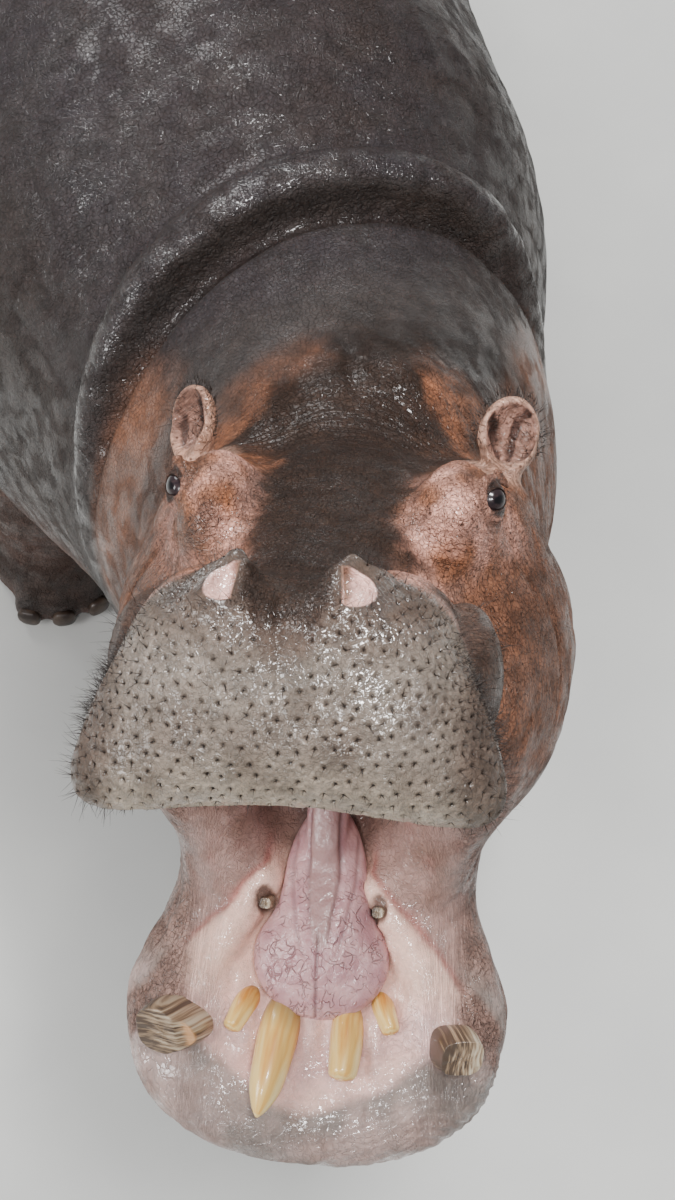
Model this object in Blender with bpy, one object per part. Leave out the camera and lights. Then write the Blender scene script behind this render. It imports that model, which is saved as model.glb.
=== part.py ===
"""A hippopotamus standing with its mouth wide open, life size. Metres, +Z up, facing -Y."""

import math
from concurrent.futures import ThreadPoolExecutor

import bmesh
import bpy
import numpy as np
from mathutils import Vector

# ---- driving dimensions ----
ORIGIN_SHIFT = Vector((0.01324, -0.00127, 0.0))  # brings the middle of the base to the origin
EYES = np.array([-0.178, -1.195, 1.70])  # point midway between the eyes
HEAD_TURN = (-41.6, -5.4, -30.8)  # pitch, roll and yaw of the head, degrees
JAW_JOINT = np.array([0.0, 0.08, -0.24])  # in the head's frame: X to its left, Y back, Z up
GAPE = 62.0  # how far the jaw is open, degrees
JAW_SWING = -1.6  # and how far it is drawn to the right
BACK_NARROWING = 0.28  # how fast the trunk narrows upwards, per metre
FORE_FEET = ((0.31, -0.37), (-0.31, -0.25))
HIND_FEET = ((0.31, 1.26), (-0.31, 1.38))
TOES = (-36.0, -12.5, 12.5, 36.0)  # headings of the four toes, degrees
FORE_REACH = 0.115  # from the middle of a foot to the middle of a toe's tip
HIND_REACH = 0.106
TOE_HEIGHT = 0.032
TOE_TIP_RADIUS = 0.034
EAR_AT = (0.197, 0.165, 0.024)
EAR_YAW = {1: 12.0, -1: -46.0}  # the left ear faces forward, the right one outward
EYE_AT = (0.180, -0.006, -0.005)
EYE_RADIUS = 0.0240
NOSTRIL_AT = (0.078, -0.445, 0.032)
NOSTRIL_RADII = (0.028, 0.025, 0.018)
NOSTRIL_TURN = (26, 0, 0)
TONGUE_LEAN = 0.009  # how far the tongue's front lies to the left
LEG_TOP, LEG_REACH = 1.30, 0.75  # how far from the ground and a foot's middle a leg is worked out
HEAD_EDGE = -0.50  # and how far back the head is
PREMOLAR_X = {1: 0.074, -1: -0.066}  # left and right, in the jaw's frame
CANINE_AT = {1: (0.186, -0.482), -1: (0.167, -0.482)}  # the worn lower canines, to the side and back
CANINE_RADIUS = {1: 0.030, -1: 0.037}
CANINE_FLAT = {1: 1.0, -1: 1.15}
GAP = 0.0003  # left between neighbouring pieces

# grid of the flesh: fine about the head, coarse elsewhere
FINE, COARSE = 0.011, 0.024
LOW, HIGH = (-0.80, -1.95, -0.06), (0.75, 1.95, 2.12)
FINE_LOW, FINE_HIGH = (-0.72, -1.90, 1.05), (0.12, -0.95, 2.10)
FLESH_FACES = 3092
EAR_FACES = 180
TONGUE_FACES = 240
FILL_ROUNDS = 5  # goes at filling places where the grid would pinch the flesh
FILL_DEPTH = 0.004
MERGE = 0.00001
FLAT_ANGLE = math.radians(0.1)
PART_SIZE, THREADS = 60000, 4

# where the flesh is parted
HEAD_BACK = 0.29  # plane across the head, this far behind the eyes
NECK_BASE = (0.0, -0.64, 1.38)
NECK_AXIS = (0.0, -0.912, 0.41)
JAW_WEDGE = ((0.10, -0.235), (-0.90, -0.835), (-0.90, -1.50), (0.60, -1.50), (0.60, -0.33))
FORE_CUT, FORE_CUT_RADII = (0.0, 0.02, 0.31), (0.26, 0.27, 0.47)  # from the middle of the foot
HIND_CUT, HIND_CUT_RADII = (0.0, 0.03, 0.35), (0.27, 0.31, 0.54)
NAIL_RADII = (0.021, 0.010, 0.020)

COLOURS = {
    "trunk": (0.075, 0.055, 0.050),
    "neck": (0.100, 0.072, 0.060),
    "head": (0.170, 0.095, 0.065),
    "lower_jaw": (0.400, 0.230, 0.200),
    "ear": (0.360, 0.200, 0.150),
    "leg": (0.110, 0.080, 0.070),
    "tail": (0.080, 0.060, 0.055),
    "tongue": (0.420, 0.200, 0.210),
    "eye": (0.020, 0.012, 0.010),
    "tooth": (0.720, 0.500, 0.200),
    "stump": (0.300, 0.190, 0.100),
    "nail": (0.070, 0.055, 0.045),
}

KINDS = (
    ("ear", "ear"),
    ("eye", "eye"),
    ("fore", "leg"),
    ("hind", "leg"),
    ("nail", "nail"),
    ("lower_canine", "stump"),
    ("lower_premolar", "stump"),
    ("lower_incisor", "tooth"),
    ("upper", "tooth"),
)


def turning(pitch=0.0, roll=0.0, yaw=0.0):
    """Rotation matrix of a roll about Y, then a pitch about X, then a yaw about Z, in degrees."""
    a, b, c = np.radians((pitch, roll, yaw))
    about_x = np.array([[1, 0, 0], [0, math.cos(a), -math.sin(a)], [0, math.sin(a), math.cos(a)]])
    about_y = np.array([[math.cos(b), 0, math.sin(b)], [0, 1, 0], [-math.sin(b), 0, math.cos(b)]])
    about_z = np.array([[math.cos(c), -math.sin(c), 0], [math.sin(c), math.cos(c), 0], [0, 0, 1]])
    return about_z @ about_x @ about_y


HEAD = turning(*HEAD_TURN)
JAW = HEAD @ turning(GAPE) @ turning(0, 0, JAW_SWING)


def to_head(p):
    return (p - EYES) @ HEAD


def from_head(p):
    return np.asarray(p) @ HEAD.T + EYES


def to_jaw(p):
    return (p - from_head(JAW_JOINT)) @ JAW


def from_jaw(p):
    return np.asarray(p) @ JAW.T + from_head(JAW_JOINT)


# ---- simple forms: each gives the distance of points to its surface, below zero inside ----


def to_tongue(p):
    """Points of the jaw's frame, with the tongue's lean to the left taken out."""
    j = to_jaw(p)
    j[:, 0] -= TONGUE_LEAN * np.clip((-0.10 - j[:, 1]) / 0.35, 0.0, 1.0)
    return j


def length(v):
    return np.sqrt(np.einsum("ij,ij->i", v, v))


def mirrored(p):
    return np.column_stack([np.abs(p[:, 0]), p[:, 1], p[:, 2]])


def placed(p, centre, turn):
    q = p - np.asarray(centre)
    return q if turn is None else q @ turning(*turn)


def ellipsoid(p, centre, radii, turn=None):
    q = placed(p, centre, turn)
    radii = np.asarray(radii)
    near = length(q / radii)
    return near * (near - 1.0) / np.maximum(length(q / radii**2), 1e-6)


def block(p, centre, radii, plan, side, turn=None, taper=0.0):
    """Rounded block: one superellipse in plan, another from the side, wider or narrower with height."""
    q = placed(p, centre, turn)
    reach = np.abs(q) / np.asarray(radii)
    reach[:, 0] /= np.clip(1.0 + taper * q[:, 2], 0.3, 3.0)
    flat = (reach[:, 0] ** plan + reach[:, 1] ** plan) ** (side / plan)
    size = np.maximum((flat + reach[:, 2] ** side) ** (1.0 / side), 1e-4)
    return length(q) * (1.0 - 1.0 / size)


def cone(p, a, b, ra, rb):
    """Round-ended rod from a to b whose radius goes from ra to rb."""
    a, b = np.asarray(a), np.asarray(b)
    along = b - a
    t = np.clip((p - a) @ along / (along @ along), 0.0, 1.0)
    return length(p - a - t[:, None] * along) - (ra + (rb - ra) * t)


def chain(p, points, radii, k):
    d = cone(p, points[0], points[1], radii[0], radii[1])
    for i in range(1, len(points) - 1):
        d = blend(d, cone(p, points[i], points[i + 1], radii[i], radii[i + 1]), k)
    return d


def blend(a, b, k):
    """Union of two forms, rounded over the width k."""
    h = np.clip(0.5 + 0.5 * (b - a) / k, 0.0, 1.0)
    return b * (1 - h) + a * h - k * h * (1 - h)


def carve(a, b, k):
    """Form a less form b, rounded over the width k."""
    return -blend(-a, b, k)


# ---- the animal's forms ----


def trunk(p):
    p = p.copy()
    p[:, 0] *= 1.0 + BACK_NARROWING * (p[:, 2] - 0.90)
    m = mirrored(p)
    d = ellipsoid(p, (0, -0.28, 0.93), (0.42, 0.50, 0.49))
    d = blend(d, ellipsoid(p, (0, 0.50, 0.88), (0.59, 0.98, 0.545)), 0.25)
    d = blend(d, ellipsoid(p, (0, 1.27, 0.93), (0.45, 0.47, 0.48)), 0.25)
    d = blend(d, ellipsoid(m, (0.16, 1.36, 0.98), (0.28, 0.34, 0.36)), 0.15)
    d = blend(d, ellipsoid(m, (0.25, -0.30, 0.90), (0.18, 0.28, 0.42)), 0.14)
    return blend(d, ellipsoid(p, (0, -0.55, 0.78), (0.32, 0.30, 0.36)), 0.18)


def upper_foreleg(p, x, y):
    inward = -math.copysign(0.02, x)
    d = ellipsoid(p, (x + inward, y + 0.06, 0.72), (0.165, 0.22, 0.33))
    return blend(d, cone(p, (x, y + 0.05, 0.56), (x, y + 0.01, 0.26), 0.145, 0.098), 0.10)


def upper_hindleg(p, x, y):
    inward = -math.copysign(0.02, x)
    d = ellipsoid(p, (x + inward, y - 0.02, 0.78), (0.19, 0.29, 0.40), (8, 0, 0))
    return blend(d, cone(p, (x, y, 0.56), (x, y + 0.07, 0.30), 0.155, 0.092), 0.10)


def foot(p, x, y, reach):
    d = ellipsoid(p, (x, y + 0.015, 0.055), (0.116, 0.120, 0.085))
    for turn in TOES:
        a = math.radians(turn)
        out = np.array((math.sin(a), -math.cos(a), 0))
        root = (x, y, 0.080) + 0.05 * out
        tip = (x, y + 0.015, TOE_HEIGHT) + reach * out
        d = blend(d, cone(p, root, tip, 0.046, 0.034), 0.012)
    return d


def foreleg(p, x, y):
    d = blend(upper_foreleg(p, x, y), cone(p, (x, y + 0.01, 0.26), (x, y, 0.10), 0.096, 0.105), 0.05)
    return blend(d, foot(p, x, y, FORE_REACH), 0.04)


def hindleg(p, x, y):
    d = blend(upper_hindleg(p, x, y), cone(p, (x, y + 0.07, 0.30), (x, y + 0.01, 0.10), 0.090, 0.100), 0.05)
    return blend(d, foot(p, x, y, HIND_REACH), 0.04)


def tail(p):
    q = p / np.array((0.8, 1.15, 1.0))
    points = ((0, 1.40, 1.17), (0, 1.545, 1.08), (0, 1.575, 0.90), (0, 1.568, 0.70))
    return chain(q, points, (0.10, 0.056, 0.036, 0.018), 0.012)


def neck(p):
    d = chain(
        p,
        ((0.00, -0.42, 0.96), (-0.05, -0.80, 1.04), (-0.10, -1.00, 1.14)),
        (0.42, 0.315, 0.285),
        0.10,
    )
    d = blend(d, ellipsoid(p, (-0.04, -0.72, 0.82), (0.29, 0.34, 0.36)), 0.16)
    return blend(d, cone(p, (0.03, -0.62, 1.13), (-0.08, -1.00, 1.37), 0.235, 0.20), 0.14)


def fold_sheet(p, lead):
    """How far a point lies behind the sheet that carries a fold round the neck, and its angle."""
    around = np.arctan2(p[:, 0] + 0.01, p[:, 2] - 1.02)
    return p[:, 1] + lead + 0.22 * (1.0 - np.cos(around)), np.abs(around)


def folded(p, d):
    """Adds the thick roll of skin over the shoulders to form d, and the crease before it."""
    behind, around = fold_sheet(p, 0.585)
    fade = np.clip(1.0 - (around - 0.55) / 1.25, 0.0, 1.0)
    fade = fade * fade * (3.0 - 2.0 * fade)
    roll = np.hypot(d + 0.030 - 0.030 * fade, behind) - (0.020 + 0.026 * fade)
    d = blend(d, roll, 0.020)
    crease = np.hypot(d * 0.6, behind + 0.062) - (0.036 * fade - 0.016)
    return carve(d, crease, 0.022)


def nostril(m):
    """The opening of a nostril in the mirrored head frame: round outside, straight towards the middle."""
    q = placed(m, NOSTRIL_AT, NOSTRIL_TURN)
    return np.maximum(ellipsoid(q, (-0.012, 0.0035, 0), NOSTRIL_RADII), -0.017 - q[:, 0] - 0.1 * q[:, 1])


def upper_head(p):
    h = to_head(p)
    m = mirrored(h)
    d = ellipsoid(h, (0, 0.12, -0.140), (0.185, 0.21, 0.150))
    d = blend(d, ellipsoid(h, (0, -0.02, -0.105), (0.150, 0.20, 0.100)), 0.05)
    d = blend(d, block(h, (0, -0.190, -0.130), (0.158, 0.27, 0.104), 4.0, 2.6, None, -2.4), 0.05)
    # cheek over the chewing muscle
    d = blend(d, ellipsoid(m, (0.168, 0.09, -0.25), (0.120, 0.24, 0.185), (12, 0, 0)), 0.08)
    # broad pad of the muzzle: its front leans back and its lip hangs lower at the sides
    sag = h + np.column_stack([np.zeros(len(h)), np.zeros(len(h)), h[:, 0] ** 2 - 0.016])
    d = blend(d, block(sag, (0, -0.430, -0.112), (0.232, 0.105, 0.126), 2.8, 2.8, (-20, 0, 0), -1.5), 0.04)
    d = blend(d, ellipsoid(m, (0.100, -0.35, -0.065), (0.085, 0.11, 0.080)), 0.05)
    # lobe behind the pad
    d = blend(d, ellipsoid(m, (0.178, -0.290, -0.125), (0.050, 0.090, 0.088)), 0.016)
    # nostril mound, the flap that stands behind the nostril, and its slit
    d = blend(d, ellipsoid(m, (0.070, -0.405, 0.004), (0.042, 0.062, 0.040), (0, 0, -12)), 0.022)
    flap = (
        (0.040, -0.486, -0.004), (0.047, -0.460, 0.024), (0.052, -0.425, 0.040),
        (0.064, -0.398, 0.046), (0.094, -0.394, 0.024),
    )
    d = blend(d, chain(m, flap, (0.008, 0.012, 0.014, 0.010, 0.007), 0.008), 0.012)
    d = carve(d, cone(h, (0, -0.395, 0.056), (0, -0.495, 0.020), 0.016, 0.006), 0.020)
    d = carve(d, nostril(m), 0.005)
    # temple, from which the ear rises, then the orbit and brow
    d = blend(d, ellipsoid(m, (0.160, 0.135, -0.092), (0.070, 0.125, 0.080)), 0.04)
    return blend(d, ellipsoid(m, (0.146, 0.008, -0.035), (0.052, 0.100, 0.070), (-8, 0, 0)), 0.04)


def lower_jaw(p):
    j = to_jaw(p)
    m = mirrored(j)
    d = cone(m, (0.150, 0.04, -0.09), (0.110, -0.26, -0.075), 0.115, 0.066)
    d = blend(d, cone(m, (0.110, -0.26, -0.075), (0.165, -0.43, -0.078), 0.066, 0.062), 0.03)
    d = blend(d, block(j, (0, -0.463, -0.080), (0.236, 0.174, 0.064), 2.3, 2.5), 0.04)
    return blend(d, cone(j, (0, 0.08, -0.16), (0, -0.42, -0.095), 0.14, 0.055), 0.06)


def cheeks(p):
    """Skin drawn between the jaws at the corners of the mouth."""
    m = mirrored(to_head(p))
    return cone(m, (0.172, -0.10, -0.240), (0.132, -0.035, -0.460), 0.052, 0.046)


def gums(p):
    """Ridges of gum along the jaw and across its front."""
    m = mirrored(to_jaw(p))
    d = cone(m, (0.180, -0.475, -0.040), (0.075, -0.290, -0.012), 0.030, 0.026)
    return blend(d, cone(m, (0.180, -0.475, -0.044), (0.0, -0.448, -0.046), 0.030, 0.027), 0.02)


def mouth(p):
    """The hollow of the open mouth."""
    j = to_jaw(p)
    d = block(j, (0, -0.385, 0.010), (0.120, 0.090, 0.052), 2.4, 2.2)
    d = blend(d, cone(j, (0, -0.34, 0.020), (0, -0.10, 0.045), 0.046, 0.040), 0.03)
    d = blend(d, cone(j, (0, -0.10, 0.045), (0, 0.0, 0.05), 0.040, 0.050), 0.03)
    d = blend(d, ellipsoid(j, (0, -0.545, 0.004), (0.165, 0.062, 0.030)), 0.02)
    palate = block(to_head(p), (0, -0.30, -0.245), (0.150, 0.185, 0.062), 2.6, 2.2)
    return blend(d, palate, 0.02)


def tongue(p):
    """A leaf, broad towards its tip, with a strap that runs back into the throat."""
    j = to_tongue(p)
    d = ellipsoid(j, (0, -0.382, -0.016), (0.084, 0.075, 0.030))
    d = blend(d, block(j, (0, -0.300, -0.008), (0.052, 0.110, 0.026), 2.0, 2.0, (-6, 0, 0)), 0.03)
    return blend(d, cone(j, (0, -0.24, 0.006), (0, -0.06, 0.030), 0.025, 0.030), 0.02)


def ear_axes(h, side):
    """Points of the head's frame in an ear's own: its opening faces -Y and its tip points up."""
    return (h - np.array((EAR_AT[0] * side, EAR_AT[1], EAR_AT[2]))) @ turning(-14, 12 * side, EAR_YAW[side])


def ear(h, side):
    q = ear_axes(h, side)
    d = ellipsoid(q, (0, 0, 0), (0.039, 0.022, 0.047))
    d = blend(d, cone(q, (0, 0, -0.02), (0, 0, -0.060), 0.026, 0.014), 0.02)
    hollow = blend(
        ellipsoid(q, (0, -0.019, 0.004), (0.031, 0.023, 0.037)),
        cone(q, (0, -0.024, -0.01), (0, -0.022, -0.052), 0.020, 0.008),
        0.02,
    )
    root = cone(q, (0, 0.012, -0.075), (0, 0.008, -0.040), 0.030, 0.018)
    return blend(carve(d, hollow, 0.006), root, 0.014)


def flesh(p):
    """The whole animal but its ears, eyes, teeth, tongue and nails."""
    body = trunk(p)
    for feet, leg in ((FORE_FEET, foreleg), (HIND_FEET, hindleg)):
        for x, y in feet:
            near = (p[:, 2] < LEG_TOP) & (np.abs(p[:, 1] - y) < LEG_REACH)
            body[near] = blend(body[near], leg(p[near], x, y), 0.06)
    rear = p[:, 1] > 1.3
    body[rear] = blend(body[rear], tail(p[rear]), 0.05)
    front = p[:, 1] < 0.0
    body[front] = folded(p[front], blend(body[front], neck(p[front]), 0.10))
    front = p[:, 1] < HEAD_EDGE
    q = p[front]
    d = blend(body[front], upper_head(q), 0.07)
    d = blend(d, lower_jaw(q), 0.05)
    d = blend(d, cheeks(q), 0.06)
    body[front] = blend(carve(d, mouth(q), 0.02), gums(q), 0.02)
    return body


# ---- from a form to a surface ----


def graded(low, high, fine_low, fine_high, fine, coarse):
    """Grid lines from low to high, closer together between fine_low and fine_high."""
    ticks = [low]
    while ticks[-1] < high:
        ticks.append(ticks[-1] + (fine if fine_low <= ticks[-1] <= fine_high else coarse))
    return np.array(ticks)


def worked_out(form, points):
    """The form at many points, a part to each of a few threads at a time."""
    parts = np.array_split(points, max(1, len(points) // PART_SIZE))
    with ThreadPoolExecutor(THREADS) as pool:
        return np.concatenate(list(pool.map(form, parts)))


def sampled(form, lines, band, stride):
    """The form on a grid: exact within the band about its surface, and of the right sign elsewhere."""
    few = [line[::stride] for line in lines]
    grid = np.stack(np.meshgrid(*few, indexing="ij"), -1).reshape(-1, 3)
    rough = worked_out(form, grid).reshape([len(line) for line in few])
    nearest = [
        np.minimum((np.arange(len(line)) + stride // 2) // stride, len(some) - 1)
        for line, some in zip(lines, few)
    ]
    values = rough[np.ix_(*nearest)]
    at = np.nonzero(np.abs(values) < band)
    values[at] = worked_out(form, np.column_stack([line[i] for line, i in zip(lines, at)]))
    return values


def surface_of(values, lines):
    """Points and quads of the surface where the values change sign, one point to a cell that it crosses."""
    inside = values < 0
    corners = [(i, j, k) for i in (0, 1) for j in (0, 1) for k in (0, 1)]
    last = np.array(inside.shape) - 1
    count = sum(
        inside[i:last[0] + i, j:last[1] + j, k:last[2] + k].astype(np.int8)
        for i, j, k in corners
    )
    cell = np.nonzero((count > 0) & (count < 8))
    index = np.full(count.shape, -1)
    index[cell] = np.arange(len(cell[0]))
    total = np.zeros((len(cell[0]), 3))
    crossings = np.zeros(len(cell[0]))
    for corner in corners:
        for axis in range(3):
            if corner[axis]:
                continue
            start = [c + step for c, step in zip(cell, corner)]
            end = [c + (i == axis) for i, c in enumerate(start)]
            v0, v1 = values[tuple(start)], values[tuple(end)]
            crossed = (v0 < 0) != (v1 < 0)
            share = np.where(crossed, v0 / np.where(crossed, v0 - v1, 1.0), 0.0)
            at = np.column_stack([line[i] for line, i in zip(lines, start)])
            at[:, axis] += share * (lines[axis][end[axis]] - lines[axis][start[axis]])
            total += at * crossed[:, None]
            crossings += crossed
    quads = []
    for axis in range(3):
        first, second = (axis + 1) % 3, (axis + 2) % 3
        low = [slice(1, n - 1) for n in values.shape]
        high = list(low)
        low[axis] = slice(0, values.shape[axis] - 1)
        high[axis] = slice(1, values.shape[axis])
        before, after = inside[tuple(low)], inside[tuple(high)]
        for outward, mask in ((True, before & ~after), (False, ~before & after)):
            edge = np.array(np.nonzero(mask))
            edge[[first, second]] += 1
            ring = []
            for a, b in ((1, 1), (0, 1), (0, 0), (1, 0)):
                c = edge.copy()
                c[first] -= a
                c[second] -= b
                ring.append(index[tuple(c)])
            quads.append(np.column_stack(ring if outward else ring[::-1]))
    return total / crossings[:, None], np.concatenate(quads)


def closed_surface(values, lines):
    """The surface, with the form filled a little wherever it would touch itself along an edge."""
    for _ in range(FILL_ROUNDS):
        points, quads = surface_of(values, lines)
        edges = np.sort(np.concatenate([quads[:, [i, (i + 1) % 4]] for i in range(4)]), axis=1)
        code, count = np.unique(edges[:, 0] * len(points) + edges[:, 1], return_counts=True)
        pinched = code[count > 2]
        if not len(pinched):
            break
        for middle in (points[pinched // len(points)] + points[pinched % len(points)]) / 2:
            at = [np.searchsorted(line, m) for line, m in zip(lines, middle)]
            values[tuple(slice(i - 2, i + 2) for i in at)] -= FILL_DEPTH
    return points, quads


# ---- Blender objects ----


def material(kind):
    found = bpy.data.materials.get(kind)
    if found is None:
        found = bpy.data.materials.new(kind)
        found.use_nodes = True
        shader = found.node_tree.nodes["Principled BSDF"]
        shader.inputs["Base Color"].default_value = (*COLOURS[kind], 1.0)
        shader.inputs["Roughness"].default_value = 0.15 if kind == "eye" else 0.45
        shader.inputs["Metallic"].default_value = 0.0
    return found


def added(name, mesh, kind=None):
    obj = bpy.data.objects.new(name, mesh)
    bpy.context.collection.objects.link(obj)
    if kind is None:
        obj.hide_render = True
        obj.display_type = "WIRE"
    else:
        mesh.materials.clear()
        mesh.materials.append(material(kind))
        mesh.shade_smooth()
        mesh.set_sharp_from_angle(angle=math.radians(50))
    return obj


def mesh_from(name, points, faces):
    mesh = bpy.data.meshes.new(name)
    mesh.from_pydata([tuple(p) for p in points], [], [tuple(int(i) for i in f) for f in faces])
    mesh.update()
    return mesh


def form_mesh(name, form, lines, faces):
    """Surface of a form, thinned to a number of triangles."""
    spacing = max(np.diff(line).max() for line in lines)
    points, quads = closed_surface(sampled(form, lines, 6.0 * spacing, 3), lines)
    thick = added(name, mesh_from(name, points, quads))
    modifier = thick.modifiers.new("thin", "DECIMATE")
    modifier.ratio = faces / (2.0 * len(quads))
    modifier.use_collapse_triangulate = True
    return baked(thick)


def baked(obj):
    """The object's mesh with its modifiers worked out; the object goes."""
    bpy.context.view_layer.update()
    graph = bpy.context.evaluated_depsgraph_get()
    mesh = bpy.data.meshes.new_from_object(obj.evaluated_get(graph))
    bpy.data.objects.remove(obj)
    return mesh


def boolean(mesh, cutter, operation):
    obj = added("cut", mesh.copy())
    tool = added("cutter", cutter)
    modifier = obj.modifiers.new("cut", "BOOLEAN")
    modifier.operation = operation
    modifier.solver = "EXACT"
    modifier.object = tool
    result = baked(obj)
    bpy.data.objects.remove(tool)
    return result


def tidied(mesh):
    """The mesh with the slivers that cuts leave in its flat triangles dissolved."""
    bm = bmesh.new()
    bm.from_mesh(mesh)
    bmesh.ops.remove_doubles(bm, verts=bm.verts, dist=MERGE)
    bmesh.ops.dissolve_limit(bm, angle_limit=FLAT_ANGLE, verts=bm.verts, edges=bm.edges)
    bmesh.ops.triangulate(bm, faces=bm.faces)
    bm.to_mesh(mesh)
    bm.free()
    return mesh


def halved(mesh, point, normal, keep_front, gap=GAP / 2):
    """The part of a mesh on one side of a plane, closed along it and half a gap short of it."""
    normal = Vector(normal).normalized()
    side = 1.0 if keep_front else -1.0
    bm = bmesh.new()
    bm.from_mesh(mesh)
    everything = bm.verts[:] + bm.edges[:] + bm.faces[:]
    cut = bmesh.ops.bisect_plane(
        bm,
        geom=everything,
        dist=1e-6,
        plane_co=Vector(point) + normal * gap * side,
        plane_no=normal,
        clear_inner=keep_front,
        clear_outer=not keep_front,
    )
    rim = [e for e in cut["geom_cut"] if isinstance(e, bmesh.types.BMEdge)]
    bmesh.ops.triangle_fill(bm, use_beauty=True, use_dissolve=False, edges=rim)
    bmesh.ops.recalc_face_normals(bm, faces=bm.faces)
    result = bpy.data.meshes.new("half")
    bm.to_mesh(result)
    bm.free()
    return result


def prism(outline, half_width, frame, origin):
    """Closed prism: an outline in a frame's YZ plane, drawn out to both sides along X."""
    count = len(outline)
    points = [(x, y, z) for x in (-half_width, half_width) for y, z in outline]
    faces = [list(range(count)), [count * 2 - 1 - i for i in range(count)]]
    for i in range(count):
        j = (i + 1) % count
        faces.append([j, i, i + count, j + count])
    mesh = mesh_from("prism", np.asarray(points) @ frame.T + origin, faces)
    return outward(mesh)


def outward(mesh):
    bm = bmesh.new()
    bm.from_mesh(mesh)
    bmesh.ops.recalc_face_normals(bm, faces=bm.faces)
    if bm.calc_volume(signed=True) < 0:
        bmesh.ops.reverse_faces(bm, faces=bm.faces)
    bm.to_mesh(mesh)
    bm.free()
    return mesh


def cuboid(centre, half, frame, origin):
    (y, z), (dy, dz) = centre[1:], half[1:]
    outline = ((y - dy, z - dz), (y + dy, z - dz), (y + dy, z + dz), (y - dy, z + dz))
    return prism(outline, half[0], frame, origin + np.array((centre[0], 0, 0)) @ frame.T)


def halves(a, b, c, d):
    """The two triangles of a four-sided face."""
    return [(a, b, c), (a, c, d)]


def ball(centre, radii, frame, origin, rings=7, sides=10):
    """Ellipsoid in a frame, its poles along that frame's Z."""
    points = [(0, 0, -1)]
    for ring in range(1, rings):
        a = math.pi * (ring / rings - 0.5)
        for step in range(sides):
            b = 2 * math.pi * step / sides
            points.append((math.cos(a) * math.cos(b), math.cos(a) * math.sin(b), math.sin(a)))
    points.append((0, 0, 1))
    top = len(points) - 1
    faces = []
    for step in range(sides):
        after = (step + 1) % sides
        faces.append((0, 1 + after, 1 + step))
        faces.append((top, top - sides + step, top - sides + after))
        for ring in range(rings - 2):
            low = 1 + ring * sides
            faces += halves(low + step, low + after, low + sides + after, low + sides + step)
    points = np.asarray(points) * np.asarray(radii) + np.asarray(centre)
    return mesh_from("ball", points @ frame.T + origin, faces)


def tooth(points, radii, frame, origin, flat=1.0, grow=0.0, sides=8):
    """Round tooth through the points, widest across X where flat is above one, with a blunt tip."""
    points = np.asarray(points, float)
    for end, inner in ((0, 1), (-1, -2)):
        points[end] += (points[end] - points[inner]) / np.linalg.norm(points[end] - points[inner]) * grow
    rings = []
    for i, (point, radius) in enumerate(zip(points, radii)):
        along = points[min(i + 1, len(points) - 1)] - points[max(i - 1, 0)]
        along /= np.linalg.norm(along)
        across = np.cross(along, (0, 0, 1.0))
        across /= np.linalg.norm(across)
        up = np.cross(across, along)
        ring = [
            point + (radius + grow) * (flat * math.cos(a) * across + math.sin(a) * up)
            for a in np.arange(sides) * 2 * math.pi / sides
        ]
        rings.append(ring)
    corners = [corner for ring in rings for corner in ring]
    corners += [points[0], points[-1]]
    start, end = len(corners) - 2, len(corners) - 1
    last = (len(rings) - 1) * sides
    faces = []
    for step in range(sides):
        after = (step + 1) % sides
        faces.append((start, after, step))
        faces.append((end, last + step, last + after))
        for ring in range(len(rings) - 1):
            low = ring * sides
            faces += halves(low + step, low + after, low + sides + after, low + sides + step)
    return outward(mesh_from("tooth", np.asarray(corners) @ frame.T + origin, faces))


# ---- cutters that part the flesh ----

WORLD = np.eye(3)
NOWHERE = np.zeros(3)
JOINT = from_head(JAW_JOINT)


def grown(mesh, by):
    """The mesh with its surface moved outward."""
    result = mesh.copy()
    for vertex in result.vertices:
        vertex.co = vertex.co + vertex.normal * by
    return result


def parted(mesh, cutter):
    """The mesh inside a cutter, and the mesh outside it, a gap apart."""
    inside = boolean(mesh, grown(cutter, -GAP), "INTERSECT")
    return inside, boolean(mesh, cutter, "DIFFERENCE")


def ear_mesh(side):
    middle = from_head((EAR_AT[0] * side, EAR_AT[1], EAR_AT[2]))
    lines = [np.arange(m - 0.13, m + 0.13, 0.004) for m in middle]
    return form_mesh("ear", lambda p: ear(to_head(p), side), lines, EAR_FACES)


def split_flesh():
    lines = [
        graded(low, high, fine_low, fine_high, FINE, COARSE)
        for low, high, fine_low, fine_high in zip(LOW, HIGH, FINE_LOW, FINE_HIGH)
    ]
    whole = halved(form_mesh("flesh", flesh, lines, FLESH_FACES), NOWHERE, (0, 0, 1), True, 0.0)
    parts = {}

    back_of_head = from_head((0, HEAD_BACK, 0))
    front = halved(whole, back_of_head, -HEAD[:, 1], True)
    rest = halved(whole, back_of_head, -HEAD[:, 1], False)
    parts["neck"] = halved(rest, NECK_BASE, NECK_AXIS, True)
    rest = halved(rest, NECK_BASE, NECK_AXIS, False)

    for side, word in ((1, "left"), (-1, "right")):
        parts["ear_" + word] = boolean(ear_mesh(side), grown(front, GAP), "DIFFERENCE")
    wedge = prism(JAW_WEDGE, 0.60, HEAD, EYES)
    parts["lower_jaw"], parts["head"] = parted(front, wedge)

    for words, feet, centre, radii in (
        ("foreleg", FORE_FEET, FORE_CUT, FORE_CUT_RADII),
        ("hindleg", HIND_FEET, HIND_CUT, HIND_CUT_RADII),
    ):
        for x, y in feet:
            region = ball(centre, radii, WORLD, np.array((x, y, 0.0)), 8, 12)
            parts[words + ("_left" if x > 0 else "_right")], rest = parted(rest, region)
    rear = cuboid((0, 1.88, 0.85), (0.09, 0.12, 0.27), WORLD, NOWHERE)
    parts["tail"], parts["trunk"] = parted(rest, rear)
    return parts


# ---- teeth, tongue, eyes and nails ----


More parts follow.
